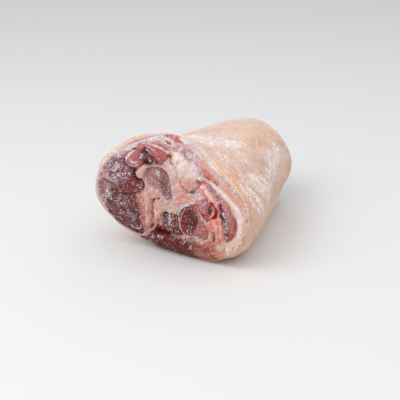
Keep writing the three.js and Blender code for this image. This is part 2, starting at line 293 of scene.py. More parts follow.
# Tissues of the wide cut, laid one over another in this order; points are (x, z)
CUT_TISSUES = {
    "outer fat": tissue("#d1ac9f", [(12, 108), (24, 104), (48, 85.5), (60, 74), (70, 60), (73, 48),
        (70, 34), (62, 21), (52, 9), (47, 13), (56, 24), (61, 34), (61, 46), (58, 56), (42, 76),
        (36, 86), (26, 98), (16, 104)], rise=0.3, fall=0.2, frost=0.25, grain=-60, soft=2),
    "white crest": tissue("#e2d8d6", [(11.5, 106), (18.5, 106), (23.5, 104), (33, 95.5),
        (36.5, 90.5), (41.5, 87), (48, 84), (52, 80), (52, 82.5), (44, 90.5), (28, 104),
        (19, 109.5), (11, 112)], rise=0.6, fall=0.5, shoulder=2, frost=0.6, grain=-50, soft=0.9),
    "brown rim below": tissue("#99563f", [(20, 8), (34, 10), (46, 12), (50, 8), (40, 3), (24, 1)],
        rise=0, frost=0.08, grain=20, soft=3),
    "low pale fat": tissue("#debcac", [(50.5, 24), (55.5, 27), (61.5, 31.5), (67, 34.5), (70, 32),
        (68.5, 27), (57.5, 13), (51.5, 8), (50.5, 15.5)], rise=1.6, fall=1.4, frost=0.3, grain=60,
        soft=1.2),
    "pink lower fat": tissue("#cd8568", [(26, 20), (36, 23), (46, 24), (49.5, 16), (50, 9),
        (42, 7), (30, 10)], rise=0.5, frost=0.16, grain=40, soft=2.5),
    "white foot of the salmon fat": tissue("#dfb2a5", [(42.5, 25.5), (49.5, 27.5), (50, 21.5),
        (49, 16.5), (44.5, 15), (42.5, 21)], rise=1.3, fall=0.9, frost=0.3, grain=80, soft=1.8),
    "left rim muscle": tissue("#95605f", [(-66.5, 50), (-63.5, 66), (-60.5, 72), (-57.5, 68),
        (-55.5, 64), (-50, 61), (-52.5, 55), (-60, 42), (-60, 34), (-66, 43)], rise=0.3, fall=0.5,
        frost=0.36, grain=78, soft=2, thread=0.3),
    "lower left muscle": tissue("#632628", [(-53, 60), (-45, 55), (-38, 56), (-31, 58), (-30, 53),
        (-29.5, 38), (-28.5, 25), (-28.5, 18), (-32, 14), (-37.5, 14), (-43, 17), (-54, 25),
        (-59, 31), (-61, 38), (-57.5, 52)], rise=2, fall=2.2, shoulder=7, frost=0.26, grain=62,
        soft=0.7, thread=0.6),
    "lower left band": tissue("#610b08", [(-41, 20), (-36, 19.5), (-30, 20.5), (-29, 17),
        (-32, 14), (-38, 14), (-44, 17.5)], frost=0.14, grain=30, soft=0.8, thread=0.4),
    "lower left bare patch": tissue("#72383a", [(-50, 47), (-47, 43), (-48, 36), (-52, 33),
        (-55, 38), (-54, 44)], frost=0.14, grain=70, soft=2.5, thread=0.4),
    "lower left red side": tissue("#7f3536", [(-38, 55), (-31, 56), (-30, 50), (-30, 42),
        (-33, 41), (-36, 47)], frost=0.2, grain=70, soft=2.5, thread=0.4),
    "sinew column": tissue("#c1786e", [(-22.5, 69.5), (-23.5, 64), (-26.5, 59), (-30, 55),
        (-29.5, 49), (-29.5, 31.5), (-28.5, 25), (-28.5, 18), (-27, 16.5), (-22, 21), (-17, 27.5),
        (-16.5, 33), (-17, 46), (-15.5, 52), (-9, 56), (-8, 61), (-12, 64), (-18, 65),
        (-20.5, 69)], rise=1.5, fall=1.5, frost=0.26, grain=86, soft=0.6, thread=0.75),
    "pink side of the column": tissue("#c98a7c", [(-23, 56), (-19, 54), (-18, 44), (-18.5, 33),
        (-21, 28), (-24, 34), (-24, 46)], frost=0.2, grain=86, soft=2.2, thread=0.75),
    "pale top of the column": tissue("#dcaa9e", [(-24, 62), (-18, 63), (-9, 61), (-8, 56),
        (-15, 53), (-20, 50), (-24, 53)], frost=0.1, soft=2.4),
    "sinew pillar": tissue("#e2b0a4", [(-12.5, 52.5), (-6.5, 53.5), (-2.5, 51), (-3, 46),
        (-9.5, 35.5), (-12, 30), (-15, 26.5), (-16, 31.5), (-14.5, 46.5)], rise=2.2, fall=1.8,
        shoulder=4, frost=0.1, grain=80),
    "cream top of the pillar": tissue("#d1a397", [(-13, 48), (-8, 50), (-3.5, 50), (-4, 45.5),
        (-8, 43.5), (-13, 43)], frost=0.06, soft=2),
    "brown foot of the pillar": tissue("#c37165", [(-9.5, 36), (-12, 30), (-15, 26), (-17, 27.5),
        (-16, 32), (-12.5, 36)], frost=0.06, soft=2.4),
    "soft fat": tissue("#cfa99c", [(-6, 51), (-2, 53), (4, 54), (8, 50), (9, 46), (7, 42), (3, 41),
        (-2, 42), (-4, 45), (-6, 47)], rise=1.4, fall=1, frost=0.12, grain=30, soft=0.8),
    "streaky fat": tissue("#d89d92", [(3, 53), (6, 62), (9, 68), (15, 66), (22, 66), (27, 71),
        (31, 68), (34, 62), (34, 57), (28, 56), (22, 57), (15, 54), (9, 49)], rise=0.2, fall=0.4,
        frost=0.3, grain=35, soft=1, thread=0.5),
    "mauve part of the streaky fat": tissue("#d2acac", [(23, 66.5), (27.5, 69.5), (31, 66.5),
        (34, 61.5), (33.5, 57.5), (28.5, 57.5), (24, 60.5)], frost=0.5, grain=35, soft=1.8,
        thread=0.4),
    "bone collar": tissue("#d8ada9", [(-22, 79), (-16, 84.5), (-7, 86.5), (0, 83.5), (5, 77),
        (7, 66), (7.5, 58), (4, 51), (-3, 49.5), (-9, 53), (-11, 60), (-19, 62), (-23, 70)],
        rise=0.8, fall=0.4, frost=0.2, grain=80, soft=1),
    "shin marrow": tissue("#b38180", [(-18.5, 80), (-15.5, 81), (-9, 82.5), (-4.5, 81.5),
        (1, 75.5), (3.5, 60), (3, 55.5), (0, 54), (-3, 55.5), (-8.5, 62), (-13, 64.5),
        (-16.5, 65.5), (-19.5, 69), (-19.5, 75)], rise=0, fall=-0.5, frost=0.26, grain=70,
        soft=0.7, thread=0.3),
    "shin marrow deep": tissue("#8c5a5b", [(-8, 80.5), (-4.5, 80.5), (0, 73), (2, 61), (1.5, 56.5),
        (-1, 55.5), (-6.5, 63), (-9, 74)], frost=0.2, grain=78, soft=2.2, thread=0.5),
    "white fat above the collar": tissue("#e1bcb6", [(-5, 88.5), (-1, 92), (3, 93.5), (6, 96),
        (7.5, 92), (6.5, 87), (9.5, 78), (5, 77.5), (1.5, 81)], rise=1.4, fall=1, frost=0.2,
        grain=-60, soft=1.4),
    "knuckle gristle": tissue("#dfc4bc", [(5, 97), (7, 98.5), (11.5, 98.5), (14, 95.5), (24, 85),
        (27.5, 75.5), (27, 71), (24, 68), (19.5, 66.5), (15.5, 68), (12.5, 71), (11.5, 75.5),
        (9, 79.5), (5, 92)], rise=3.9, fall=3, shoulder=9, frost=0.08, grain=-45, soft=0.9,
        thread=0.06),
    # The gristle's own white, with a painted highlight where light falls on its top
    "lit white top of the gristle": tissue("#e7d8cf", [(6, 96.5), (11, 97.5), (15, 93.5), (14, 88),
        (9, 88), (6, 92)], frost=0.12, soft=3.5),
    # Its lower right is salmon and darker: partly its own colour, partly painted shade
    "shaded lower half of the knuckle": tissue("#d19686", [(12.5, 75), (18.5, 78.5), (26, 76.5), (27, 70.5),
        (22.5, 67), (16, 68)], frost=0.08, soft=5),
    # Painted shade: the hollow between the round muscle and the red lump is painted dark red
    "shaded hollow": tissue("#4d080d", [(-21.5, 98), (-17.5, 98), (-14.5, 95.5), (-12, 91.5),
        (-5.5, 88), (-6.5, 86), (-10.5, 84.5), (-15, 84), (-19, 83.5), (-21.5, 86)], rise=-1.4,
        frost=0.08, grain=40, soft=0.8),
    "side muscle": tissue("#773f4d", [(-56, 81), (-46.5, 89.5), (-41.5, 92.5), (-37, 93),
        (-34, 90), (-34.5, 86.5), (-32.5, 81.5), (-27.5, 81), (-27.5, 75), (-24, 65.5),
        (-25, 61.5), (-28.5, 60.5), (-37, 56.5), (-41, 56), (-46, 57.5), (-49.5, 64.5),
        (-53.5, 65), (-56.5, 67.5), (-58, 72)], rise=4, fall=3.6, shoulder=7, frost=0.45, grain=55,
        soft=0.6, thread=0.4),
    "side muscle bare part": tissue("#792525", [(-44, 63), (-37, 68), (-31, 76), (-28, 79),
        (-27.5, 75), (-24, 65.5), (-25, 61.5), (-28.5, 60.5), (-37, 56.5), (-41, 56), (-46, 57.5),
        (-47, 61)], frost=0.2, grain=45, soft=4, thread=0.4),
    "pale lobe": tissue("#deb0a3", [(-25.5, 82), (-22, 84.5), (-18.5, 85), (-16.5, 83), (-19, 79),
        (-22.5, 72.5), (-26, 72.5), (-27.5, 75)], rise=4.6, fall=2.4, shoulder=5, frost=0.06,
        grain=70, thread=0.1),
    "top red muscle": tissue("#b97077", [(-4, 111), (-1, 112.5), (3.5, 113), (7, 111.5), (10, 109),
        (12.5, 106.5), (9, 106.5), (5.5, 107.5), (2, 109.5), (-1.5, 110)], rise=0.6, fall=0.6,
        shoulder=1.5, frost=0.25, grain=-20, thread=0.6),
    "frosted upper muscle": tissue("#b17a7d", [(4.5, 102.5), (11, 104), (16, 103), (21, 100),
        (25, 96.5), (25.5, 89), (30, 81), (28.5, 79), (25.5, 83.5), (15, 95), (12, 98), (6, 99.5)],
        rise=0.2, fall=0.6, frost=0.78, grain=132, soft=0.9, thread=0.4),
    "upper pink strip": tissue("#cc988a", [(16.5, 103.5), (22.5, 101.5), (32, 93), (35, 89),
        (36.5, 85), (45.5, 77.5), (44.5, 75), (39, 77.5), (32.5, 81.5), (30, 85), (26, 89),
        (24.5, 94), (25.5, 96.5), (21, 100.5)], rise=0.8, fall=0.8, frost=0.22, grain=-52, soft=1),
    "upper strip's foot": tissue("#c47162", [(29.5, 86), (35, 87), (38, 82.5), (44.5, 78),
        (44, 75), (38, 78), (32.5, 81)], frost=0.12, soft=2.2),
    "round pink muscle": tissue("#a66565", [(-35.5, 87), (-33.5, 91.5), (-25.5, 99), (-22, 101.5),
        (-20, 99.5), (-19, 95), (-20.5, 85.5), (-23.5, 81.5), (-29, 81), (-33.5, 83)], rise=6.5,
        fall=3.2, shoulder=8, frost=0.05, grain=35, thread=0.2),
    # Painted shade: the right end of the round muscle is painted darker
    "round muscle's shaded end": tissue("#974f54", [(-24, 98), (-21.5, 100), (-19.5, 97.5),
        (-18, 94), (-19, 90), (-21, 91)], frost=0.2, soft=2.5),
    "red flap": tissue("#923036", [(-19, 99), (-15.5, 98.5), (-9.5, 91.5), (-7.5, 89), (-9.5, 88),
        (-13, 89.5), (-16.5, 93.5)], rise=3.2, fall=1.6, shoulder=2.5, frost=0.05, grain=-40,
        thread=0.2),
    "red lump": tissue("#ab5f61", [(-25.5, 101), (-21, 102.5), (-10, 104.5), (0.5, 103),
        (2.5, 101.5), (2, 99), (2.5, 96.5), (-1.5, 91), (-3.5, 88), (-6.5, 87.5), (-9.5, 90),
        (-14, 96.5), (-17.5, 99), (-25, 99.5)], rise=5.2, fall=2.6, shoulder=5, frost=0.05,
        grain=-22, thread=0.2),
    "inner muscle left": tissue("#602124", [(-8, 40.5), (-4.5, 43), (-2, 40), (-3.5, 28),
        (-6.5, 25.5), (-9, 26), (-9, 31)], rise=-1.6, fall=1, frost=0.34, grain=75, soft=0.7,
        thread=0.5),
    "inner muscle right": tissue("#6d2928", [(-2, 42), (7, 41.5), (7.5, 36), (10, 24), (8, 20.5),
        (2, 19.5), (-5, 24.5), (-3, 30), (-1.5, 36)], rise=-0.4, fall=1.2, frost=0.28, grain=68,
        soft=0.6, thread=0.5),
    "brown hollow": tissue("#8d2c28", [(-17, 28.5), (-11, 26.5), (-7, 25.5), (-5, 22.5), (-12, 20),
        (-20, 20), (-21, 24)], rise=-2.6, frost=0.05, grain=20, soft=1.4),
    "red gap": tissue("#6a1517", [(-20, 20.5), (-15, 22), (-9, 22.5), (-6, 23.5), (-1.5, 19),
        (-9.5, 16), (-18.5, 15), (-20.5, 17)], rise=-4.5, frost=0.03, grain=20, soft=1),
    "frosted low tissue": tissue("#ac5a4b", [(9, 20), (14, 23), (21, 24.5), (27, 22.5), (34, 23),
        (39, 20), (41, 14), (36, 12), (24, 14), (10, 18)], rise=1.2, fall=0.8, frost=0.3, grain=28,
        soft=1.4, thread=0.4),
    "bottom muscle": tissue("#62160f", [(-37, 10.5), (-31, 12), (-20, 17), (-13, 18), (3, 20),
        (26, 14.5), (38, 9), (40, 5), (25, 1), (10, -1), (-5, -1), (-18, 0.5), (-29, 4)], rise=4.2,
        fall=3.6, shoulder=7, frost=0.12, grain=62, thread=0.5),
    "pale end of the bottom muscle": tissue("#aa6656", [(24, 14.5), (31, 12.5), (39, 9), (40, 4),
        (30, 1.5), (25, 1.5), (22, 7)], frost=0.16, grain=40, soft=5, thread=0.4),
    "calf collar": tissue("#965753", [(7, 43), (9.5, 47), (19, 55), (22, 56.5), (24, 53), (25, 47),
        (30, 39.5), (32.5, 34), (36.5, 29.5), (36, 25), (29.5, 21), (24, 22.5), (19, 23), (13, 23),
        (9.5, 27.5), (8, 34)], rise=0.6, fall=0.8, frost=0.18, grain=60),
    "calf pale half": tissue("#b26a64", [(25.5, 46), (29.5, 40.5), (36.5, 31.5), (36.5, 27.5),
        (34, 23.5), (29.5, 21.5), (25.5, 22.5), (21.5, 26), (24, 32), (25.5, 38)], frost=0.22,
        grain=50, soft=0.9),
    "calf purple oval": tissue("#a96c65", oval((29.4, 25.4), (4.6, 3.4), 20), frost=0.1, soft=1.5),
    "calf marrow": tissue("#731f20", [(10.5, 34), (13.5, 44.5), (17, 48), (21.5, 48.5), (24.5, 46),
        (26, 42), (25.5, 36), (22.5, 30), (18.5, 26), (14.5, 24.5), (12, 27)], rise=-1.2,
        fall=-0.6, frost=0.24, grain=60, soft=0.7, thread=0.3),
    "calf marrow grey": tissue("#612625", oval((20.6, 40), (6.4, 3.0), 80), frost=0.16, soft=2.4),
    "vessel bed": tissue("#cc625c", [(22, 51), (26, 57), (32, 60), (36, 60), (40, 56), (42, 50),
        (40, 44), (36, 41.5), (32.5, 40), (24.5, 47)], rise=-1.6, fall=0.6, frost=0.3, grain=-30,
        soft=0.8, thread=0.4),
    "outer muscle": tissue("#ad6863", [(44, 67.5), (50.5, 64.5), (54, 61.5), (58, 52), (61, 47.5),
        (61.5, 41.5), (61, 36), (58, 30.5), (53, 25.5), (51, 27.5), (49.5, 36), (46.5, 50),
        (46, 58), (44, 63)], rise=0.9, fall=1, frost=0.2, grain=112, soft=0.8, thread=0.6),
    "pink upper part of the outer muscle": tissue("#c0726c", [(45, 67), (50, 64), (54, 60.5),
        (53, 55), (50.5, 56), (48.5, 60)], frost=0.3, grain=120, soft=2.4, thread=0.4),
    "dark strip": tissue("#702428", [(34.5, 72.5), (42, 65), (45.5, 57.5), (46, 48.5), (50.5, 39),
        (54.5, 37.5), (55, 42), (53, 46), (45.5, 63.5), (37.5, 71.5)], rise=-0.7, frost=0.5,
        grain=110, soft=0.8, thread=0.5),
    "outer muscle frosted foot": tissue("#80292a", [(49.5, 36), (54.5, 38.5), (56, 33),
        (52.5, 27.5), (50.5, 29)], frost=0.5, grain=100, soft=1.2, thread=0.3),
    "salmon fat": tissue("#d57b6f", [(38, 42.5), (46, 45), (50.5, 38.5), (50, 33.5), (50, 28),
        (46, 22), (40.5, 23.5), (39, 27), (38.5, 32), (36, 38.5)], rise=1.8, fall=1.6, frost=0.16,
        grain=92, soft=0.8, thread=0.6),
    "red ribbon": tissue("#af1a18", [(36.5, 60.5), (40, 59.5), (42.5, 56.5), (44.5, 53), (45, 49),
        (44, 45.5), (37, 43.5), (39.5, 47.5), (40.5, 51), (37.5, 57)], rise=-0.6, frost=0.03,
        grain=100),
    "vessel opening": tissue("#621012", [(34.5, 54.5), (37, 54.5), (38, 52), (38, 49), (36, 46),
        (34.5, 48)], rise=-2.4, frost=0.22, grain=90),
    "pink nodules": tissue("#ac7574", [(26, 51), (28.5, 56.5), (32, 58), (35, 57.5), (35, 49),
        (31.5, 47)], rise=0.6, fall=1.6, shoulder=2.5, frost=0.45, soft=0.7),
    "small red nodule": tissue("#cb5a52", oval((34.3, 44.5), (1.1, 1.2), 0), rise=0.5, fall=1,
        shoulder=1.2, frost=0.05),
}

# Lines of tissue, creases, fat seams and frost edges on the wide cut, laid after the tissues
CUT_SEAMS = {
    "pale fat along the left rim": seam("#d9b6b0", [(-63, 36), (-67, 48), (-67.5, 58), (-64.5, 69),
        (-54, 85.5), (-40, 96)], 1.7, rise=0.3, frost=0.5, soft=1.4),
    # A pale membrane along the side muscle's lower edge, partly painted highlight on its rounded
    # lip
    "pale, highlighted edge of the side muscle": seam("#d3a39f", [(-57.5, 74), (-57, 70), (-55.5, 67), (-53, 65),
        (-49.5, 65), (-46, 58), (-41, 56)], 1, rise=0.3, frost=0.15, soft=0.8),
    "shade under the side muscle": seam("#67383d", [(-58, 65.5), (-53, 63), (-50, 62), (-48, 58.5),
        (-46, 55.5), (-41, 54), (-36.5, 54.5), (-25.5, 59)], 1, rise=-1.6, frost=0.1, soft=0.9),
    # Painted shade: dark red in the hollow between the side muscle and the pale lobe, over a real
    # groove
    "shade in the hollow beside the side muscle": seam("#54191d", [(-29, 79.5), (-29, 75), (-27.5, 71.5),
        (-24.5, 69.5), (-22.5, 65.5), (-23.5, 61)], 1, rise=-2.4, frost=0, soft=0.7),
    "shade under the round muscle": seam("#6b373d", [(-36.5, 89), (-36.5, 85), (-34, 81.5),
        (-30.5, 80)], 0.9, rise=-1.8, frost=0.05, soft=0.8),
    "white lip of the round muscle": seam("#e6dadb", [(-28, 97), (-33.5, 91.5), (-35.5, 87.5),
        (-34, 84), (-30.5, 82)], 1.1, frost=0.85, soft=0.8),
    "frost ring on the round muscle": seam("#d9c6c6", [(-30, 89.5), (-29, 87.5), (-25.5, 87),
        (-22.5, 88.5)], 0.45, frost=0.6),
    "frost ring below": seam("#d3b4b3", [(-30.5, 85), (-27, 84), (-23, 85.5)], 0.5, frost=0.6),
    "orange fleck": seam("#b9625a", [(-39, 90.5), (-36.5, 91)], 1.1),
    "top white band": seam("#cabdc7", [(-46, 91.5), (-34, 96.5), (-25.5, 102.5), (-16, 107),
        (-7.5, 110), (-4.5, 111)], 2, rise=0.6, frost=0.85, thin=0.7, soft=1),
    "white band over the red lump": seam("#cdbcc2", [(-22, 103), (-13.5, 106.5), (-8.5, 107),
        (-4.5, 106.5), (2, 103.5), (5.5, 102)], 1.3, rise=0.4, frost=0.85, soft=1),
    "red fleck": seam("#a54e4d", [(-31, 96.5), (-28.5, 97.5), (-26, 97.5)], 1.1, rise=0.3,
        frost=0.1),
    "lilac under the white band": seam("#a98088", [(-44, 90.5), (-32, 95)], 1.2, frost=0.5,
        soft=1),
    "top white branch": seam("#d3c0c4", [(-7.5, 110), (-2.5, 109), (2, 107.5), (4.5, 105.5)], 1,
        frost=0.8),
    "top brown streak": seam("#a5604f", [(-2.5, 107), (0, 105.5), (2.5, 104)], 0.9, rise=-0.4,
        frost=0.1),
    "red line under the rind": seam("#cb6f5a", [(-35, 101), (-27.5, 104.5), (-20.5, 107.5),
        (-13.5, 110), (-8, 111.5)], 0.9, frost=0.05, soft=0.8),
    "bright end of the top muscle": seam("#c4624e", [(5, 109.5), (12.5, 107)], 0.9, frost=0.1),
    "frost in the hollow": seam("#a87f88", [(-20, 94), (-18, 91), (-16, 87.5)], 1.8, frost=0.6,
        soft=1.4),
    "orange edge of the red lump": seam("#e8bab0", [(2, 100.5), (3, 97.5), (3, 95)], 1.5, rise=0.6,
        frost=0.1, soft=1.2),
    "bridge beside the red lump": seam("#84434a", [(-21, 98.5), (-18, 97)], 1.4, rise=2.5,
        frost=0.1, soft=0.9),
    "crease of the red lump": seam("#6a3034", [(-19, 99), (-17, 95.5), (-17, 91.5)], 0.7,
        rise=-1.6, frost=0.15, soft=0.8),
    "white crease of the red lump": seam("#d7bcbd", [(-18.5, 99), (-15, 97), (-10, 91)], 0.5,
        frost=0.7),
    "dark crease of the red lump": seam("#8a4145", [(-13.5, 94.5), (-8, 89)], 0.6, rise=-1,
        frost=0.1),
    "frost on the red lump": seam("#dcbcbd", [(-18.5, 104), (-6, 102), (1.5, 99)], 0.5, frost=0.7),
    "frost on the red lump's back": seam("#c98f90", [(-20, 101.5), (-15, 101.5), (-6, 96.5)], 0.4,
        frost=0.4),
    "red spot": seam("#b54a4e", [(-5.5, 94.5), (-4, 94)], 0.9, frost=0, soft=0.8),
    "orange tip": seam("#cf7a63", [(-1.5, 92), (2, 97)], 1.2, frost=0.02, soft=0.9),
    "orange neck of the red lump": seam("#bd6a5c", [(-25, 101.5), (-19, 101)], 1.2, frost=0.05,
        soft=1.2),
    "red thread by the gristle": seam("#b96f62", [(2, 95), (4, 87)], 0.9, rise=-0.5, soft=0.9),
    "orange fleck on the gristle": seam("#e09f83", [(11.5, 93), (9, 88)], 0.9, soft=1),
    "crease of the strip's foot": seam("#a2594f", [(31.5, 81), (44.5, 75)], 0.8, rise=-0.9,
        frost=0.05, soft=0.9),
    # Painted shadow: darker colour in the crease under the gristle, over a shallow groove
    "shade in the crease under the gristle": seam("#a3635a", [(11, 73), (13, 69), (16.5, 66), (22, 65.5),
        (26.5, 68)], 1, rise=-0.5, soft=1.2),
    "frost beside the gristle": seam("#e0cccb", [(20, 90), (25, 82.5), (28.5, 75)], 1.6, frost=0.8,
        soft=1.2),
    "white top of the pink strip": seam("#dcc4c0", [(19, 103), (24, 100), (29.5, 94.5)], 1.6,
        frost=0.4, soft=1.6),
    "frost under the gristle": seam("#8f6f73", [(15, 64.5), (18.5, 63.5), (23, 65)], 0.8,
        frost=0.55, soft=0.9),
    "red arch of the shin": seam("#964346", [(-17, 81), (-12, 83), (-7, 83), (-2.5, 80.5),
        (0.5, 76.5), (2, 71)], 1, frost=0.1, soft=0.8),
    "white collar of the shin": seam("#dcbfbb", [(-18, 83), (-9, 85), (-2, 83), (2.5, 77), (5, 61),
        (5, 55)], 1, rise=0.4, frost=0.3, soft=1),
    "frost in the shin marrow": seam("#a58c90", [(-9.5, 80), (-7.5, 73.5)], 2, frost=0.7,
        soft=2.2),
    "fold of the pale lobe": seam("#c7917f", [(-17, 82.5), (-20, 73)], 0.6, rise=-0.6, soft=0.7),
    "pink streak": seam("#bd7f77", [(-23.5, 72), (-25, 54)], 0.8, rise=-0.3),
    "pink streak lower": seam("#b06a63", [(-27, 54), (-26.5, 20)], 0.9, rise=-0.3, frost=0.3,
        soft=0.8),
    "white streak": seam("#d9b0a8", [(-22, 50), (-21.5, 42), (-23.5, 26)], 0.7, rise=0.2,
        frost=0.35, soft=0.8),
    "slit of the column": seam("#86423f", [(-29.5, 45), (-29, 34)], 0.6, rise=-1.2, frost=0.1),
    "fissure": seam("#84423a", [(-14, 53), (-15.5, 50), (-16, 43), (-16, 36), (-16, 33)], 0.6,
        rise=-1.8, frost=0),
    "pits": seam("#80403a", [(-10, 54), (-8.5, 55)], 0.7, rise=-1.6),
    "upper pit": seam("#84433c", [(-15, 52.5), (-13, 54)], 0.9, rise=-2),
    "membrane": seam("#d9b0a4", [(-48, 19.5), (-37, 13), (-31.5, 13), (-27.5, 16), (-21.5, 21),
        (-17, 27), (-15.5, 34)], 0.9, rise=0.8, frost=0.15, soft=0.6),
    "frost arc": seam("#c5b9bc", [(-39, 24), (-37.5, 21), (-34, 20), (-30.5, 22), (-30, 26)], 0.6,
        frost=0.8),
    "frost between inner muscles": seam("#b9a6aa", [(-1.5, 42), (-2, 35), (-3.5, 29)], 0.9,
        rise=-0.6, frost=0.8, soft=0.7),
    "deep red": seam("#4a0a0d", [(-11, 21.5), (-7, 21.5), (-4.5, 20)], 0.9, rise=-1.6, frost=0,
        soft=0.8),
    "red line of the gap": seam("#941a1c", [(-17.5, 17), (-8, 18.5)], 0.8, frost=0, soft=0.7),
    "lip over the gap": seam("#98564f", [(-6.5, 26.5), (-4.5, 23.5), (-1, 21.5)], 1.1, rise=1,
        frost=0.15),
    "frosted lip of the bottom muscle": seam("#a98689", [(-3, 20), (3, 20.5), (8, 19.5),
        (19.5, 23.5), (24.5, 23.5), (27.5, 22)], 0.7, frost=0.6, soft=0.8),
    "frost on the bottom muscle": cloud([(12, 18.5), (20.5, 12.5)], 2, frost=0.7, soft=2.4),
    "frost on the low tissue": cloud([(22, 22.5), (27, 20.5), (30, 18)], 1.8, frost=0.75,
        soft=2.2),
    "frost on the bottom muscle's left": cloud([(-22, 13), (-14, 15.5), (-7, 17)], 1.6, frost=0.45,
        soft=2),
    "frost cloud on the side muscle": cloud([(-42.5, 88.5), (-45, 77.5), (-47.5, 71.5),
        (-51.5, 66.5)], 3.4, frost=0.8, soft=4),
    "frost cloud on the left": cloud([(-57.5, 59), (-56.5, 54), (-59.5, 45)], 2.6, frost=0.75,
        soft=3),
    "frost grains on the lower left": cloud([(-48, 51.5), (-43.5, 40.5), (-41, 30), (-37.5, 24)],
        4, frost=0.42, soft=5),
    "calf crescent": seam("#a99b9e", [(7.5, 43), (10.5, 48), (20.5, 55.5)], 1.5, rise=0.8,
        frost=0.8),
    "calf dark crescent": seam("#5b3234", [(9.5, 44), (13, 48.5), (18.5, 51.5)], 0.7, rise=-0.8,
        frost=0.1),
    "calf red ring": seam("#9a2e30", [(21.5, 49.5), (15, 47), (11.5, 39), (10, 33), (12, 26.5),
        (16.5, 24.5)], 0.7, frost=0.05),
    "calf pale ring": seam("#cf9f9a", [(7.5, 43), (9.5, 28), (12, 24)], 0.7, rise=0.7),
    "edge of the calf's pale half": seam("#e2b8b0", [(34, 38.5), (37, 32.5), (37, 28.5),
        (35.5, 24.5), (31.5, 21.5), (27, 22.5)], 0.8, rise=0.6, frost=0.2),
    "calf wedge": seam("#dfb6b2", [(26, 48), (33, 39.5)], 0.9, rise=0.9, frost=0.2),
    "pale top of the vessel bed": seam("#dfb8b4", [(20, 56), (24, 57.5), (28.5, 57)], 2, frost=0.5,
        soft=1.4),
    "red spot by the nodules": seam("#b23c36", [(26.5, 51), (28, 49.5)], 1.4, rise=-0.4,
        frost=0.05, soft=0.8),
    "pink lump under the nodules": seam("#c9736e", [(30.5, 50), (35, 47.5)], 1.8, rise=0.5,
        frost=0.12, soft=0.8),
    "dark slit": seam("#4d1a1d", [(28.5, 46), (33, 41.5)], 0.7, rise=-2, frost=0),
    "pit": seam("#250a0c", [(33.5, 41), (34, 41)], 0.8, rise=-2.4, frost=0),
    "dark core of the ribbon": seam("#7c1114", [(43, 51), (42, 47.5), (40.5, 45.5)], 1.1,
        rise=-0.6, frost=0, soft=0.9),
    "vessel wall": seam("#dfa49c", [(39.5, 55), (41, 53), (39, 47), (37, 44.5)], 0.65, rise=1.2,
        frost=0.1),
    "red strip above the outer muscle": seam("#b26663", [(26, 77), (29, 74.5), (32, 75.5),
        (39, 72.5), (43.5, 68.5)], 1.6, rise=-0.5, frost=0.3, soft=0.9),
    "pink upper end of the dark strip": seam("#a97275", [(34.5, 72), (38.5, 69.5), (42, 66)], 1.5,
        frost=0.45, soft=1.3),
    "frost on the dark strip": seam("#d6cad0", [(45.5, 62.5), (46.5, 60)], 0.8, frost=0.9,
        soft=0.8),
    "frost on the dark strip's middle": seam("#d6cad0", [(48.5, 51), (49.5, 48)], 0.9, frost=0.9,
        soft=0.9),
    "frost on the dark strip's foot": seam("#b39aa2", [(51.5, 41.5), (53, 38)], 0.9, frost=0.7,
        soft=1),
    "dark spot above": seam("#471b21", [(46, 56.5), (46.5, 53)], 1.1, rise=-0.6, frost=0.1,
        soft=1),
    "dark spot below": seam("#45191e", [(47, 49.5), (49, 45.5)], 1.3, rise=-0.8, frost=0.1,
        soft=1),
    "tendon": seam("#e6b8ac", [(30.5, 71), (41.5, 60.5)], 2.8, rise=2.2, frost=0.12, thin=0.7,
        soft=0.7),
    "thin edge of the tendon": seam("#d99a90", [(42.5, 61), (45.5, 53.5), (44.5, 46)], 0.55,
        rise=1, frost=0.1),
    "orange side of the tendon": seam("#d9795f", [(31, 70), (36, 61.5)], 1.5, rise=0.5, frost=0.05,
        soft=0.9),
    "ragged white end of the tendon": seam("#e6d3cf", [(28.5, 71.5), (30.5, 72)], 0.6, rise=0.4,
        frost=0.6),
    "red outer edge": seam("#a04a44", [(59.5, 49.5), (61, 43), (60, 36), (57, 31), (53.5, 27.5)],
        1.5, frost=0.06, soft=1.3),
    "outer fat band": seam("#e4cec6", [(37.5, 77.5), (44, 71.5), (50, 68), (61, 58), (65.5, 45.5),
        (63.5, 33)], 1.7, rise=0.7, frost=0.34, thin=1.8, soft=0.9),
    "salmon stripe above": seam("#dc9d88", [(46, 75.5), (53, 71), (64.5, 62.5), (67, 58.5)], 2,
        rise=0.4, frost=0.12, soft=1),
    "frosted pink stripe": seam("#bd8a87", [(48, 79.5), (65, 68.5), (69, 63.5), (70.5, 58)], 1.7,
        rise=-0.3, frost=0.55, soft=1),
    "salmon stripe": seam("#dfa592", [(67.5, 45), (68.5, 38.5), (67, 33.5)], 1.3, frost=0.1,
        soft=1),
    "crease by the rind": seam("#a4705e", [(71, 50.5), (70.5, 47.5)], 0.6, rise=-0.8, frost=0),
    "crease by the rind below": seam("#a4705e", [(70, 36.5), (68.5, 33), (66.5, 31)], 0.6,
        rise=-0.8, frost=0),
    "crease by the rind lowest": seam("#b98870", [(65, 26.5), (63, 22.5)], 0.6, rise=-0.8,
        frost=0),
    "pink strip by the calf": seam("#cf8c81", [(34.5, 39), (38, 33), (39.5, 23.5)], 1.3, rise=0.8,
        frost=0.12, soft=0.8),
    "fissure of the salmon fat": seam("#96423f", [(40, 33.5), (41.5, 29.5), (40.5, 23.5)], 0.8,
        rise=-1.6, frost=0.02),
    "salmon ridge": seam("#e5aea2", [(41.5, 43.5), (43.5, 37), (44, 28)], 0.9, rise=0.5,
        frost=0.35, soft=1.2),
    "salmon ridge outside": seam("#e3aa9d", [(46.5, 43), (48, 36), (47.5, 27)], 0.8, rise=0.4,
        frost=0.35, soft=1.2),
    "red streak of the streaky fat": seam("#cd7d75", [(8.5, 57.5), (13, 59.5), (18.5, 59),
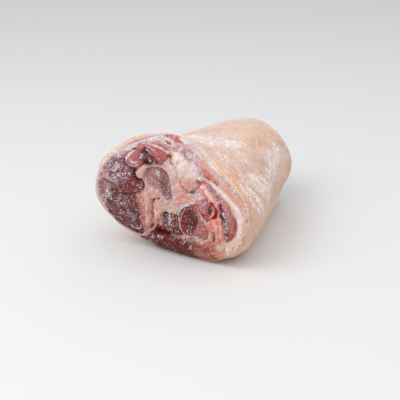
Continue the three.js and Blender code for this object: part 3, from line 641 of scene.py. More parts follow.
        (22.5, 57.5)], 0.7, rise=-0.4, frost=0.1, soft=1),
    "crease of the low fat": seam("#c08e7c", [(50.5, 20), (48.5, 10)], 0.7, rise=-1, soft=0.7),
    "crease of the low fat outside": seam("#c59c88", [(60, 24), (57, 18), (52.5, 13)], 0.7,
        rise=-0.8),
}

# Tissues of the shank end: muscles packed round the two bones, inside a ring of fat
SHANK_TISSUES = {
    "pink ground between the muscles": tissue("#d3a296", oval((-2, 39), (38, 33.5), 0), frost=0.12,
        grain=20, soft=2.5),
    "front muscle": tissue("#a2605c", [(-29, 60), (-19, 68), (-8, 71), (1, 69.5), (2, 63),
        (0, 57.5), (-8, 57.5), (-17, 54.5), (-23, 53)], rise=1, fall=1, shoulder=4, frost=0.16,
        grain=12, soft=1, thread=0.6),
    "front muscle beside it": tissue("#ab6a63", [(4.5, 69.5), (14, 66.5), (24, 59.5), (30, 51.5),
        (24, 47), (16, 47.5), (9, 52), (4, 57), (5, 63)], rise=0.8, fall=1, shoulder=4, frost=0.2,
        grain=-28, soft=1, thread=0.6),
    "outer muscle": tissue("#935351", [(32, 49), (36, 42), (36, 33), (33.5, 25.5), (27.5, 25),
        (25, 31), (25.5, 38), (22.5, 43), (26, 45.5)], rise=1.1, fall=1.2, shoulder=4, frost=0.2,
        grain=105, soft=1, thread=0.6),
    "small outer muscle": tissue("#a4615b", [(32, 22.5), (28, 14.5), (22, 10.5), (18.5, 14.5),
        (19, 21), (25, 22.5)], rise=0.7, fall=0.9, frost=0.16, grain=70, soft=1, thread=0.5),
    "inner muscle": tissue("#8f4e4d", [(-31, 58), (-37.5, 51), (-41, 42), (-40, 33), (-33, 31.5),
        (-25, 34), (-20.5, 40), (-20, 47), (-24.5, 51.5)], rise=1.2, fall=1.2, shoulder=5,
        frost=0.2, grain=75, soft=1, thread=0.6),
    "small inner muscle": tissue("#9f5b57", [(-38.5, 29.5), (-35, 21), (-29.5, 14), (-24, 15),
        (-22, 22), (-24.5, 30.5), (-32.5, 28.5)], rise=0.8, fall=1, frost=0.16, grain=110, soft=1,
        thread=0.5),
    "heel muscle": tissue("#8b4a49", [(-20, 13), (-12, 8), (-2, 7), (4.5, 9.5), (6.5, 16),
        (4, 22.5), (-3, 26.5), (-12, 28), (-18.5, 26), (-19, 19)], rise=1.1, fall=1.2, shoulder=4,
        frost=0.2, grain=-8, soft=1, thread=0.6),
    "paler side of the front muscle": tissue("#bd8178", [(-20, 57), (-8, 59.5), (0, 60), (0, 64),
        (-10, 64), (-21, 60)], frost=0.1, grain=12, soft=4, thread=0.5),
    "paler side of the inner muscle": tissue("#ad6d67", [(-24, 51), (-20.5, 46), (-21, 40),
        (-25, 36), (-28, 42), (-27, 49)], frost=0.1, grain=75, soft=4, thread=0.5),
    "paler side of the heel muscle": tissue("#a9645e", [(-17, 25.5), (-4, 25.5), (4, 20), (0, 17),
        (-12, 20)], frost=0.12, grain=-8, soft=4, thread=0.5),
    "heel tendon": tissue("#e2c9bb", [(8.5, 10), (13.5, 8.5), (16.5, 12.5), (15.5, 19),
        (10.5, 20.5), (8.5, 15)], rise=1.2, fall=1.2, frost=0.1, grain=20, soft=0.9),
    "tendon by the shin": tissue("#e2c8bc", oval((12, 46), (3.4, 2.2), -40), rise=0.9, fall=0.9,
        shoulder=2, frost=0.1, soft=0.8),
    "tendon by the inner muscle": tissue("#e0c5b9", oval((-20, 31.5), (2.6, 2.0), 60), rise=0.8,
        fall=0.8, shoulder=2, frost=0.1, soft=0.8),
    "shin collar": tissue("#e2c9bf", oval((-5, 43), (12.6, 11.6), 0), rise=0.5, fall=0.5,
        shoulder=2, frost=0.1, grain=0, soft=0.7),
    "shin marrow": tissue("#b98880", [(-13, 45), (-9, 50.5), (-1, 51), (3.5, 46), (3, 39),
        (-3, 35), (-9.5, 36.5), (-13.5, 41)], rise=0.1, fall=-0.4, frost=0.2, grain=45, soft=1.2,
        thread=0.4),
    "shin marrow's red heart": tissue("#9a605b", oval((-5.5, 43), (4.6, 4), 30), frost=0.2,
        grain=45, soft=3, thread=0.4),
    "calf collar": tissue("#ddc0b6", oval((16, 31), (7.4, 6.4), 0), rise=0.4, fall=0.4, shoulder=2,
        frost=0.1, grain=0, soft=0.7),
    "calf marrow": tissue("#a56c65", [(12.5, 32), (15, 34.6), (19, 33.6), (20, 29.6), (17, 27),
        (13.4, 28)], rise=0, fall=-0.3, frost=0.2, grain=45, soft=1.2, thread=0.4),
}

# Fat seams between those muscles, skins, creases and frost
SHANK_SEAMS = {
    "fat seam of the front": fat_seam("#e8d0c4", [(3, 71.5), (3.2, 64), (2, 57)]),
    "fat seam of the inner side": fat_seam("#e6cdc1", [(-31, 61), (-25, 53), (-19, 51)]),
    "fat seam below it": fat_seam("#e6cdc1", [(-42, 31.5), (-33, 30), (-24, 32.5)]),
    "fat seam of the outer side": fat_seam("#e4cabd", [(34, 51.5), (26, 46.5), (20, 43)]),
    "fat seam of the heel": fat_seam("#e4cabd", [(-22, 11.5), (-20.5, 19), (-20, 27), (-12, 29.8),
        (-2, 28.4), (6, 24)]),
    "skin of the shin": seam("#b9786e", [(7.6, 46), (3, 53), (-5, 55), (-13, 52), (-17.4, 45)],
        0.5, rise=-0.6, frost=0.02),
    "skin of the shin below": seam("#b9786e", [(-17, 39), (-11, 32.4), (-3, 31.2), (4, 34)], 0.5,
        rise=-0.6, frost=0.02),
    "crease beside the calf": seam("#a8655c", [(8.2, 35), (8, 30), (10, 26)], 0.6, rise=-0.8,
        frost=0.02, soft=0.8),
    "crease of the heel tendon": seam("#c79c8d", [(11, 18), (12.6, 14), (12.4, 10.5)], 0.5,
        rise=-0.4),
    "frost on the inner muscle": cloud([(-37, 50), (-36, 40)], 3, frost=0.5, soft=3),
    "frost on the heel muscle": cloud([(-16, 20), (-6, 14)], 2.6, frost=0.45, soft=3),
    "frost on the outer muscle": cloud([(31, 46), (33, 38)], 2.6, frost=0.45, soft=3),
}

# Bare fat between the tissues: colour, frost, direction of its grain, strength of its threads
FAT = linear("#dcad9f")
FAT_FROST, FAT_GRAIN, FAT_THREAD = 0.24, 60.0, 0.25
# Wavering of the outlines: size and wavelength in millimetres
EDGE_WAVER = [(0.45, 5.0), (0.25, 2.2)]
# How far past its outline a tissue is felt; the same for a seam, in half widths and millimetres
TISSUE_REACH, SEAM_REACH, SEAM_SPARE = 6.0, 4.0, 2.0
# Seams: share of the width that wavers, share left at the tips, how fast they widen, least width
SEAM_WAVER, SEAM_TIP, SEAM_WIDEN, SEAM_LEAST = 0.25, 0.45, 3.0, 0.2
# Painted shade, dark red, at the foot of a tissue's side: how wide in millimetres, what it does
# to the colour, the steps between which it grows, the share of the fall that makes a step lower,
# the tones between which pale tissue takes less of it, how much less, and the share of frost that
# goes
CREASE_WIDE, CREASE_SHADE = 1.5, np.array([0.5, 0.2, 0.2])
CREASE_STEP, CREASE_FALL = (0.6, 3.0), 0.6
PALE_TONES, PALE_SPARED, CREASE_THAW = (0.18, 0.45), 0.75, 0.7
# Shift across the grain for each degree of its angle, so that threads of neighbours don't meet
GRAIN_SHIFT = 2.3
# Fine relief of the ends: height, stretch along the grain, wavelength, number of its seed, which
# counts on from the seed of the end
CUT_SWELLS = [(0.25, 1.0, 9.0, 1), (0.1, 1.0, 4.0, 2)]
CUT_RIDGES = [(0.16, 0.25, 1.7, 0)]
CUT_PILED = [(0.16, 0.5, 1.5, 3)]
# Seeds of each end: outlines, fine relief
CUT_SEEDS, SHANK_SEEDS = (11, 31), (53, 71)


def blend(values, near, new, cover):
    """Moves the values at some points towards a new one by cover, in place."""
    cover = cover[:, None] if values.ndim == 2 else cover
    values[near] += (new - values[near]) * cover


def seam_half(layer, place, waver):
    """Half width of a seam at places along it: it thins to its far end, wavers, and is drawn in
    at both tips."""
    half = layer["half"] * (1 - (1 - layer["thin"]) * place) * (1 + SEAM_WAVER * waver)
    return half * np.minimum(1.0, SEAM_TIP + SEAM_WIDEN * np.minimum(place, 1 - place))


def lay_tissue(made, near, layer, gap, cover):
    """Lays the body of a tissue: its top falls to its edge as a quarter circle, painted shade
    gathers at its foot the more the higher it stands over what lies there, and its grain takes
    over."""
    if layer["rise"] is not None:
        from_edge = np.clip(-gap / layer["shoulder"], 0, 1)
        level = layer["rise"] - layer["fall"] * (1 - np.sqrt(from_edge * (2 - from_edge)))
        step = layer["rise"] - CREASE_FALL * layer["fall"] - made["height"][near]
        foot = smooth(*CREASE_STEP, step) * np.exp(-(np.maximum(gap, 0) / CREASE_WIDE) ** 2)
        made["crease"][near] = np.maximum(made["crease"][near], foot) * (1 - cover)
        blend(made["height"], near, level, cover)
    if layer["grain"] is not None:
        made["grain"][near] = np.where(cover > 0.5, layer["grain"], made["grain"][near])
        blend(made["thread"], near, layer["thread"], cover)


def lay_layers(layers, x, z, seed):
    """Height over the bare cut, colour, frost, grain and threads at points (x, z): each layer is
    mixed over those before it inside its wavering outline, and seams add a rounded ridge or
    groove along their paths. In the creases the colour is multiplied by a dark red tint as painted
    shade, less on pale tissue, and frost goes."""
    points = np.stack([x, z], -1)
    count = len(points)
    made = dict(height=np.zeros(count), crease=np.zeros(count), colour=np.tile(FAT, (count, 1)),
                frost=np.full(count, FAT_FROST), grain=np.full(count, FAT_GRAIN),
                thread=np.full(count, FAT_THREAD))
    waver = sum(size * wander(points, wavelength, seed + number)
                for number, (size, wavelength) in enumerate(EDGE_WAVER))
    for layer in layers:
        closed, path = layer["closed"], layer["path"]
        reach = TISSUE_REACH if closed else SEAM_REACH * layer["half"] + SEAM_SPARE
        in_box = (points > path.min(0) - reach) & (points < path.max(0) + reach)
        near = np.flatnonzero(in_box.all(-1))
        if not len(near):
            continue
        away, place, inside = distance_to_path(points[near], path, closed)
        if closed:
            gap = np.where(inside, -away, away) + waver[near]
            cover = smooth(layer["soft"], -layer["soft"], gap)
            lay_tissue(made, near, layer, gap, cover)
        else:
            half = seam_half(layer, place, waver[near])
            cover = smooth(layer["soft"], -layer["soft"], away - half)
            ridge = np.exp(-(away / np.maximum(half, SEAM_LEAST)) ** 2)
            made["height"][near] += layer["rise"] * ridge
        for key in ("colour", "frost"):
            if layer[key] is not None:
                blend(made[key], near, layer[key], cover)
    # Painted shade: the colour in the creases is multiplied towards dark red, less on pale tissue
    crease = made["crease"] * (1 - PALE_SPARED * smooth(*PALE_TONES, made["colour"][:, 1]))
    made["colour"] *= 1 - (1 - CREASE_SHADE) * crease[:, None]
    made["frost"] *= 1 - CREASE_THAW * crease
    return made


def along_grain(x, z, depth, grain):
    """Coordinates turned so that the first runs with the grain: rotation by the grain's angle."""
    turn = np.radians(grain)
    return np.stack([x * np.cos(turn) + z * np.sin(turn),
                     z * np.cos(turn) - x * np.sin(turn) + GRAIN_SHIFT * grain, depth], -1)


def crumbs(x, z, frost, fibre, seed):
    """Fine relief in millimetres: low swells, ridges across the grain, and frost that piles up."""
    swells = rough(np.stack([x, z], -1), CUT_SWELLS, seed)
    ridges, piled = (rough(fibre[:, :2], rows, seed) for rows in (CUT_RIDGES, CUT_PILED))
    return swells + ridges + frost * piled


def dressed(layers, seeds, x, z, ring, level, outward):
    """Y and paint of an end: its bare level with the tissues standing out of it, less and less
    towards the rim."""
    made = lay_layers(layers, x, z, seeds[0])
    fibre = along_grain(x, z, level, made["grain"])
    relief = made["height"] + crumbs(x, z, made["frost"], fibre, seeds[1])
    y = level + outward * relief * (1 - ring ** RIM_HOLD)
    return y, dict(paint=made["colour"], frost=made["frost"], thread=made["thread"], fibre=fibre)


def cut_surface(x, z, angle, ring):
    """Y and paint of the wide cut, which looks back along the leg."""
    layers = [*CUT_TISSUES.values(), *CUT_SEAMS.values()]
    return dressed(layers, CUT_SEEDS, x, z, ring, cut_level(x, z, angle, ring), -1)


def shank_surface(x, z, ring):
    """Y and paint of the shank end, which looks ahead."""
    layers = [*SHANK_TISSUES.values(), *SHANK_SEAMS.values()]
    return dressed(layers, SHANK_SEEDS, x, z, ring, shank_level(z, ring), 1)


def disc_grid(steps):
    """A square grid laid evenly over a disc: angle and ring of each point, its corner indices,
    and the indices of its rim in order round the disc."""
    side = np.linspace(-1, 1, steps + 1)
    a, b = (q.ravel() for q in np.meshgrid(side, side, indexing="ij"))
    sideways = np.abs(a) > np.abs(b)
    ring = np.maximum(np.abs(a), np.abs(b))
    wide = np.where(sideways, a, np.where(b == 0, 1.0, b))
    ratio = np.where(sideways, b, a) / wide
    angle = np.where(sideways, np.pi / 4 * ratio, np.pi / 2 - np.pi / 4 * ratio)
    angle = np.where(np.where(sideways, a, b) < 0, angle + np.pi, angle)
    number = np.arange((steps + 1) ** 2).reshape(steps + 1, steps + 1)
    corners = [number[:-1, :-1], number[1:, :-1], number[1:, 1:], number[:-1, 1:]]
    rim = [number[-1, :-1], number[::-1, -1][:-1], number[0, ::-1][:-1], number[:-1, 0]]
    return angle, ring, np.stack(corners, -1).reshape(-1, 4), np.concatenate(rim)


def band_quads(rows, closed_rows=False):
    """Corner indices between rows of points that each close round the leg."""
    here, there = (rows, np.roll(rows, -1, 0)) if closed_rows else (rows[:-1], rows[1:])
    corners = [here, np.roll(here, -1, 1), np.roll(there, -1, 1), there]
    return np.stack(corners, -1).reshape(-1, 4)


def new_mesh(name, points, faces):
    """A smooth mesh from points in millimetres, moved into the part's frame, and from arrays of
    corner indices, each with one number of corners."""
    mesh = bpy.data.meshes.new(name)
    place = ((points - MIDDLE) * MM).astype(np.float32)
    loops = np.concatenate([f.ravel() for f in faces]).astype(np.int32)
    sizes = np.concatenate([np.full(len(f), f.shape[1]) for f in faces]).astype(np.int32)
    starts = (np.cumsum(sizes) - sizes).astype(np.int32)
    mesh.vertices.add(len(place))
    mesh.vertices.foreach_set("co", place.ravel())
    mesh.loops.add(len(loops))
    mesh.loops.foreach_set("vertex_index", loops)
    mesh.polygons.add(len(sizes))
    mesh.polygons.foreach_set("loop_start", starts)
    mesh.polygons.foreach_set("loop_total", sizes)
    mesh.polygons.foreach_set("use_smooth", np.ones(len(sizes), dtype=bool))
    mesh.update(calc_edges=True)
    mesh.validate()
    return mesh


def make_piece(name, points, faces, paint, node):
    """One closed piece with its paint as attributes, riding on the root body in place of a node."""
    mesh = new_mesh(name, points, faces)
    opaque = np.concatenate([paint["paint"], np.ones((len(points), 1))], 1)
    for key, kind, field, values in (("paint", "FLOAT_COLOR", "color", opaque),
                                     ("frost", "FLOAT", "value", paint["frost"]),
                                     ("thread", "FLOAT", "value", paint["thread"]),
                                     ("fibre", "FLOAT_VECTOR", "vector", paint["fibre"])):
        attribute = mesh.attributes.new(key, kind, "POINT")
        attribute.data.foreach_set(field, values.astype(np.float32).ravel())
    piece = bpy.data.objects.new(name, mesh)
    bpy.context.collection.objects.link(piece)
    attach(piece, "root")
    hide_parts(node)
    return piece


def joined(*paints):
    """Paint of several sets of points, one after another."""
    return {key: np.concatenate([p[key] for p in paints]) for key in paints[0]}


def bone_depth(x, z, middle, half, tilt=0.0):
    """How deep a point of an end lies in a bone's sawn face: 0 in its middle, 1 on its outline."""
    turn = math.radians(tilt)
    dx, dz = x - middle[0], z - middle[1]
    lengthwise = (dx * math.cos(turn) + dz * math.sin(turn)) / half[0]
    crosswise = (dz * math.cos(turn) - dx * math.sin(turn)) / half[1]
    return np.hypot(lengthwise, crosswise)


def ring_of(x, z, along):
    """Angle and ring of a point (x, z) in the end section at along 0 or 1."""
    middle, widest, _ = section_reach(np.zeros(1), np.full(1, along))
    dx, dz = x - middle, z - widest
    angle = np.arctan2(dz, dx)
    _, _, reach = section_reach(angle, np.full_like(angle, along))
    return angle, np.minimum(np.hypot(dx, dz) / reach, 1.0)


def flesh_end(along, angle, ring):
    """Points and paint of one end of the flesh: a disc of the end section, set in under the rind,
    with its tissues, sunk under the sawn faces of the bones."""
    middle, widest, reach = section_reach(angle, np.full_like(angle, along))
    reach = ring * (reach - FLESH_INSET * rind_thickness(angle))
    x = middle + reach * np.cos(angle)
    z = press_flat(widest + reach * np.sin(angle))
    if along == 0.0:
        y, paint = cut_surface(x, z, angle, ring)
        for bone in BONES.values():
            depth = bone_depth(x, z, bone["front"], bone["front_half"], bone["tilt"])
            y = y + BONE_NEST * smooth(*CUT_NEST, depth)
    else:
        y, paint = shank_surface(x, z, ring)
        for bone in BONES.values():
            depth = bone_depth(x, z, bone["far"], bone["far_half"])
            y = y - BONE_NEST * smooth(*SHANK_NEST, depth)
    return np.stack([x, y, z], -1), paint


def make_flesh():
    """The meat inside the rind: both ends, joined by a plain wall that keeps a few millimetres
    inside the rind."""
    angle, ring, quads, rim = disc_grid(FACE_STEPS)
    cut, cut_paint = flesh_end(0.0, angle, ring)
    shank, shank_paint = flesh_end(1.0, angle, ring)
    share = gathered_rows(np.linspace(0, 1, WALL_ROWS + 2)[1:-1], WALL_GATHER)
    turned, along = np.broadcast_arrays(angle[rim][None, :], share[:, None])
    wall = leg_point(turned, along, WALL_INSET).reshape(-1, 3)
    size, count = len(angle), len(wall)
    wall_paint = dict(paint=np.tile(FAT, (count, 1)), frost=np.zeros(count),
                      thread=np.zeros(count), fibre=wall)
    rows = np.vstack([rim, 2 * size + np.arange(count).reshape(WALL_ROWS, -1), size + rim])
    faces = [quads, size + quads[:, ::-1], band_quads(rows)[:, ::-1]]
    return make_piece("flesh", np.concatenate([cut, shank, wall]), faces,
                      joined(cut_paint, shank_paint, wall_paint), "meat")


# Colour of the skin and of its cut edge round the leg: angle in degrees, colour. Both grow
# darker towards the underside, at -90 and 270 degrees, as painted shade.
RIND_SKIN = [
    (-90, "#c0937b"), (-30, "#e2b797"), (0, "#d9b098"), (30, "#dab7a3"), (60, "#dfbeaa"),
    (95, "#dfbfae"), (150, "#dcbbaa"), (205, "#d5ac94"), (240, "#cda288"), (270, "#c0937b"),
]
RIND_EDGE = [
    (-90, "#a97863"), (-30, "#c79a80"), (5, "#dcb497"), (45, "#e1bda3"), (75, "#e2ccbc"),
    (95, "#dfbcab"), (125, "#dfb9a8"), (155, "#dcbbb0"), (175, "#d9bdb6"), (215, "#cfada5"),
    (245, "#b58a7b"), (270, "#a97863"),
]
# Millimetres round the leg for each degree on the unrolled skin
ROUND_MM = 0.96
# Uneven fields of the skin's paint (wavelength in millimetres, seed) and their share in its tone
SKIN_BROAD, SKIN_FINE, SKIN_CLOUDS = (46.0, 101), (12.0, 102), (26.0, 103)
BROAD_TONE, FINE_TONE = 0.03, 0.02
# Tan behind the wide rim: colour, cover, how far along the leg and how much that wavers, the
# angles over which it fades above and below, and the share of thin frost that goes there
TAN, TAN_COVER, TAN_RUN, TAN_WAVER = linear("#d7a684"), 0.85, 0.075, 0.01
TAN_ABOVE, TAN_BELOW, TAN_BARE = (56, 34), (-80, -50), 0.8
# Thin frost: everywhere, how much it varies, more on the side that shows, less behind; there it
# comes in clouds. Each pair of angles says where a side begins and where it is full.
THIN_FROST, THIN_VARIES, SIDE_MORE, BEHIND_LESS, CLOUDS_MORE = 0.1, 0.03, 0.06, 0.05, 0.2
SIDE_ANGLES, BACK_ANGLES, UNDER_ANGLES, CLOUD_LEVELS = (60, 25), (95, 120), (0, -25), (0.3, 1.5)
# Raggedness of dust and streaks: amount, stretch, wavelength, seed
FROST_RAGGED = [(0.45, 1.0, 9.0, 105), (0.35, 1.0, 4.0, 106)]
# How far the brushed frost has run round the leg, in millimetres, at places along it
RIND_SLANT, SLANT_ROUND = [(0.0, 0.0), (0.12, 32.0), (0.35, 76.0), (0.5, 90.0), (1.0, 94.0)], 0.8
# Dusty frost on the skin: path as places along the leg and angles, half width, amount
RIND_DUST = {
    "veil at the top of the rim": ([(0.0, 90), (0.07, 82), (0.15, 72)], 9.0, 0.75),
    "upper veil": ([(0.1, 92), (0.18, 78), (0.27, 65), (0.37, 53)], 6.0, 0.75),
    "far frost": ([(0.75, 30), (0.68, 23), (0.57, 18), (0.47, 15), (0.37, 14)], 5.5, 1.0),
    "far frost above": ([(0.62, 28), (0.49, 23)], 5.0, 0.6),
    "side frost": ([(0.19, 21), (0.25, 15), (0.31, 9)], 5.5, 1.0),
    "side frost below": ([(0.17, 15), (0.23, 9), (0.3, 1)], 4.0, 0.7),
    "end frost": ([(0.94, 40), (0.95, 24), (0.9, 10)], 4.5, 0.35),
    "back frost": ([(0.2, 150), (0.34, 138)], 7.0, 0.6),
    "back frost by the shank": ([(0.62, 122), (0.74, 116)], 6.0, 0.5),
    "left frost": ([(0.18, 196), (0.3, 188), (0.46, 190)], 7.0, 0.7),
    "left frost by the shank": ([(0.7, 178), (0.82, 172)], 6.0, 0.55),
    "low left frost": ([(0.48, 222), (0.6, 214)], 5.5, 0.55),
}
# Thin brushed streaks of frost, given the same way
RIND_STREAKS = {
    "top streak": ([(0.08, 98), (0.14, 90), (0.22, 77), (0.36, 56)], 1.8, 0.8),
    "streak above it": ([(0.19, 94), (0.27, 78), (0.33, 68)], 1.4, 0.6),
    "streak below it": ([(0.1, 80), (0.19, 66), (0.28, 54)], 1.5, 0.7),
    "dashes by the rim": ([(0.13, 57), (0.09, 48)], 1.2, 1.0),
    "dashes behind them": ([(0.15, 51), (0.11, 42)], 1.2, 1.0),
    "dashes in the middle": ([(0.28, 56), (0.29, 45)], 1.4, 0.45),
    "dashes further down": ([(0.3, 48), (0.28, 36)], 1.4, 0.45),
    "streak of the side frost": ([(0.21, 20), (0.27, 10), (0.32, 2)], 1.3, 0.7),
    "low streak": ([(0.04, 24), (0.05, 15), (0.07, 8), (0.12, -1)], 1.4, 1.0),
    "low streak beside": ([(0.08, 20), (0.11, 10), (0.18, -2), (0.24, -10)], 1.2, 1.0),
    "low streak between": ([(0.06, 20), (0.09, 11), (0.14, 2)], 1.1, 0.6),
    "back streak": ([(0.06, 136), (0.12, 122), (0.2, 106)], 1.6, 0.7),
    "back dashes": ([(0.26, 152), (0.32, 142)], 1.4, 0.55),
    "left streak": ([(0.08, 214), (0.13, 200), (0.2, 186)], 1.5, 0.75),
    "left dashes": ([(0.36, 196), (0.42, 186)], 1.4, 0.5),
}
# Soft patches of another colour: path, half width, colour; then their cover and how it varies
RIND_PATCHES = {
    "pink top": ([(0.24, 100), (0.36, 90), (0.46, 78)], 10.0, "#cda89e"),
    "peach top": ([(0.5, 76), (0.8, 70)], 14.0, "#debb9f"),
    "orange side": ([(0.5, 50), (0.72, 46), (0.92, 48)], 9.0, "#d9a584"),
    "tan end": ([(0.9, 36), (0.95, 22), (0.93, 8)], 8.0, "#cb9c80"),
    "tan side": ([(0.1, 40), (0.08, 28), (0.1, 15)], 6.0, "#ca9c80"),
    "pink middle": ([(0.17, 30), (0.26, 31), (0.4, 29)], 8.0, "#cda595"),
    "pink patch": ([(0.33, 21), (0.35, 15)], 3.6, "#bd8479"),
    "pink patch lower": ([(0.4, 12), (0.48, 6)], 4.0, "#bf897c"),
    "pink side": ([(0.42, -4), (0.6, -8), (0.75, -6)], 7.0, "#c7917b"),
    "pink patch behind": ([(0.5, 160), (0.56, 158)], 6.0, "#cfa292"),
    "orange side behind": ([(0.4, 205), (0.8, 200)], 11.0, "#d3a283"),
    "pink back": ([(0.2, 140), (0.4, 150)], 10.0, "#d6b1a4"),
}
PATCH_COVER, PATCH_VARIES = 0.8, 0.25
# Cut edge: depths in the rind over which its paint sets in, frost, more frost on the left, and
# the angles and depths over which that comes and goes
EDGE_DEPTHS, EDGE_FROST, LEFT_MORE = (0.02, 0.2), 0.15, 0.4
LEFT_FROM, LEFT_TO, LEFT_DEPTHS = (120, 150), (245, 215), (0.3, 0.9)
# Fine relief of the skin and of its piled frost: height, stretch along the leg, wavelength, seed
SKIN_ROUGH = [(0.25, 1.0, 34.0, 201), (0.05, 1.0, 11.0, 202), (0.03, 0.4, 3.4, 203)]
SKIN_PILED = [(0.1, 0.3, 2.4, 204)]
# Share of the length at each end, and heights over the floor, over which that relief sets in
CALM_ENDS, CALM_HEIGHTS = 0.03, (1.0, 4.0)


def round_colour(table, degrees):
    """Colour at an angle round the leg, blended between the colours of a table."""
    angles, colours = [d for d, _ in table], np.array([linear(c) for _, c in table])
    return np.stack([np.interp(degrees, angles, band) for band in colours.T], -1)


def beside(flat, path, half):
    """Nearness to a path on the unrolled skin: 1 on it, fading out sideways as a bell curve."""
    line = curve_through([(along * LENGTH, degrees * ROUND_MM) for along, degrees in path], False)
    away, _, _ = distance_to_path(flat, line, False)
    return np.exp(-(away / half) ** 2)


def frost_along(flat, table):
    """Frost laid along the paths of a table; where they meet, the strongest counts."""
    frost = [amount * beside(flat, path, half) for path, half, amount in table.values()]
    return np.max(frost, axis=0)


def rind_paint(angle, along):
    """Colour, frost, streaks and grain of the rind at an angle and place along it: a ground that
    changes round the leg and darkens towards the underside as painted shade, tan behind the wide
    rim and soft patches; thin frost, ragged dusty frost and thin broken streaks, whose grain slants
    round the leg."""
    degrees = np.degrees(angle)
    flat = np.stack([along * LENGTH, degrees * ROUND_MM], -1)
    broad, fine, clouds = (wander(flat, *field) for field in (SKIN_BROAD, SKIN_FINE, SKIN_CLOUDS))
    ragged = np.clip(1 + rough(flat, FROST_RAGGED), 0, 2)
    band = (smooth(TAN_RUN, 0.0, along + TAN_WAVER * fine)
            * smooth(*TAN_ABOVE, degrees) * smooth(*TAN_BELOW, degrees))
    tone = 1 + BROAD_TONE * broad + FINE_TONE * fine
    # The ground colour darkens towards the underside: painted shade
    colour = round_colour(RIND_SKIN, degrees) * tone[:, None]
    blend(colour, EVERYWHERE, TAN, TAN_COVER * band)
    for path, half, patch in RIND_PATCHES.values():
        cover = beside(flat, path, half) * (PATCH_COVER + PATCH_VARIES * fine)
        blend(colour, EVERYWHERE, linear(patch), np.clip(cover, 0, 1))
    behind = smooth(*BACK_ANGLES, degrees) + smooth(*UNDER_ANGLES, degrees)
    thin = THIN_FROST + THIN_VARIES * broad + SIDE_MORE * smooth(*SIDE_ANGLES, degrees)
    thin += behind * (CLOUDS_MORE * smooth(*CLOUD_LEVELS, clouds) - BEHIND_LESS)
    frost = np.maximum(thin * (1 - TAN_BARE * band), frost_along(flat, RIND_DUST) * ragged)
    streaks = frost_along(flat, RIND_STREAKS) * ragged
    run = np.interp(along, *np.transpose(RIND_SLANT))
    fibre = np.stack([flat[:, 0], SLANT_ROUND * (flat[:, 1] + run), flat[:, 1]], -1)
    return dict(paint=colour, frost=np.clip(frost, 0, 1), thread=np.clip(streaks, 0, 1),
                fibre=fibre)


def paint_edge(paint, degrees, inset):
    """Paints the cut edge of the rind, in place: its colour round the leg, darker at the bottom as
    painted shade, and its own frost, with more on the left."""
    cut = smooth(*EDGE_DEPTHS, inset)
    left = smooth(*LEFT_FROM, degrees) * smooth(*LEFT_TO, degrees) * smooth(*LEFT_DEPTHS, inset)
    # The edge's colour darkens at the bottom: painted shade
    blend(paint["paint"], EVERYWHERE, round_colour(RIND_EDGE, degrees), cut)
    blend(paint["frost"], EVERYWHERE, EDGE_FROST + LEFT_MORE * left, cut)


def rind_relief(points, paint, along):
    """Fine relief of the rind in millimetres: slack skin, wrinkles round the leg and piled frost,
    calm at both edges and on the floor."""
    fibre = paint["fibre"][:, :2]
    relief = rough(fibre, SKIN_ROUGH) + paint["frost"] * rough(fibre, SKIN_PILED)
    calm = smooth(0.0, CALM_ENDS, along) * smooth(1.0, 1 - CALM_ENDS, along)
    return relief * calm * smooth(*CALM_HEIGHTS, points[:, 2])


def rim_lumps(degrees, along, inset):
    """Small lumps of the wide rim in millimetres: bell curves round the leg and along it."""
    lumps = sum(height * np.exp(-((degrees - at) / wide) ** 2) for at, height, wide in RIM_LUMPS)
    return lumps * np.exp(-(along / LUMP_RUN) ** 2) * (1 - inset)


def rind_section():
    """Section of the rind as rows: place along the leg, share of the thickness set in, and bulge
    along the leg. It runs over the rounded wide edge, along the outside, over the shank edge and
    back along the inside; both edges are half circles."""
    edge = np.linspace(0, 1, EDGE_ROWS + 1)[:-1]
    outer = gathered_rows(np.linspace(0, 1, RIND_ROWS + 1), RIND_GATHER)
    inner = np.linspace(1, 0, INNER_ROWS + 2)[1:-1]
    over, out = (1 + np.cos(np.pi * edge)) / 2, np.sin(np.pi * edge)
    along = np.concatenate([0 * edge, outer, 0 * edge + 1, inner])
    inward = np.concatenate([over, 0 * outer, over[::-1], 0 * inner + 1])
    bulge = np.concatenate([-out, 0 * outer, out[::-1], 0 * inner])
    return along, inward, bulge


def make_rind():
    """The rind: a closed skin, its section carried round the leg. The wide edge falls back towards
    the outside, and small lumps stand out of its rim."""
    turn = np.linspace(-np.pi / 2, 1.5 * np.pi, RIND_ROUND, endpoint=False)
    along, inward, bulge = (rows[:, None] for rows in rind_section())
    angle, along, inset = np.broadcast_arrays(turn[None, :], along, inward)
    thick = rind_thickness(angle)
    points = leg_point(angle, along, inset * thick)
    chamfer = RIND_CHAMFER * thick * (1 - inset) * smooth(CHAMFER_RUN, 0.0, along)
    points[..., 1] += RIND_EDGE_BULGE * bulge + chamfer
    rows = np.arange(angle.size).reshape(angle.shape)
    angle, along, inset, thick = (q.ravel() for q in (angle, along, inset, thick))
    points, degrees = points.reshape(-1, 3), np.degrees(angle)
    paint = rind_paint(angle, along)
    # The grain runs on over both edges
    paint["fibre"][:, 0] -= inset * thick * np.where(along < 0.5, 1, -1)
    paint_edge(paint, degrees, inset)
    relief = rind_relief(points, paint, along) + rim_lumps(degrees, along, inset)
    points[:, 0] += np.cos(angle) * relief
    points[:, 2] = np.maximum(points[:, 2] + np.sin(angle) * relief, 0.0)
    return make_piece("rind", points, [band_quads(rows, True)], paint, "meat")


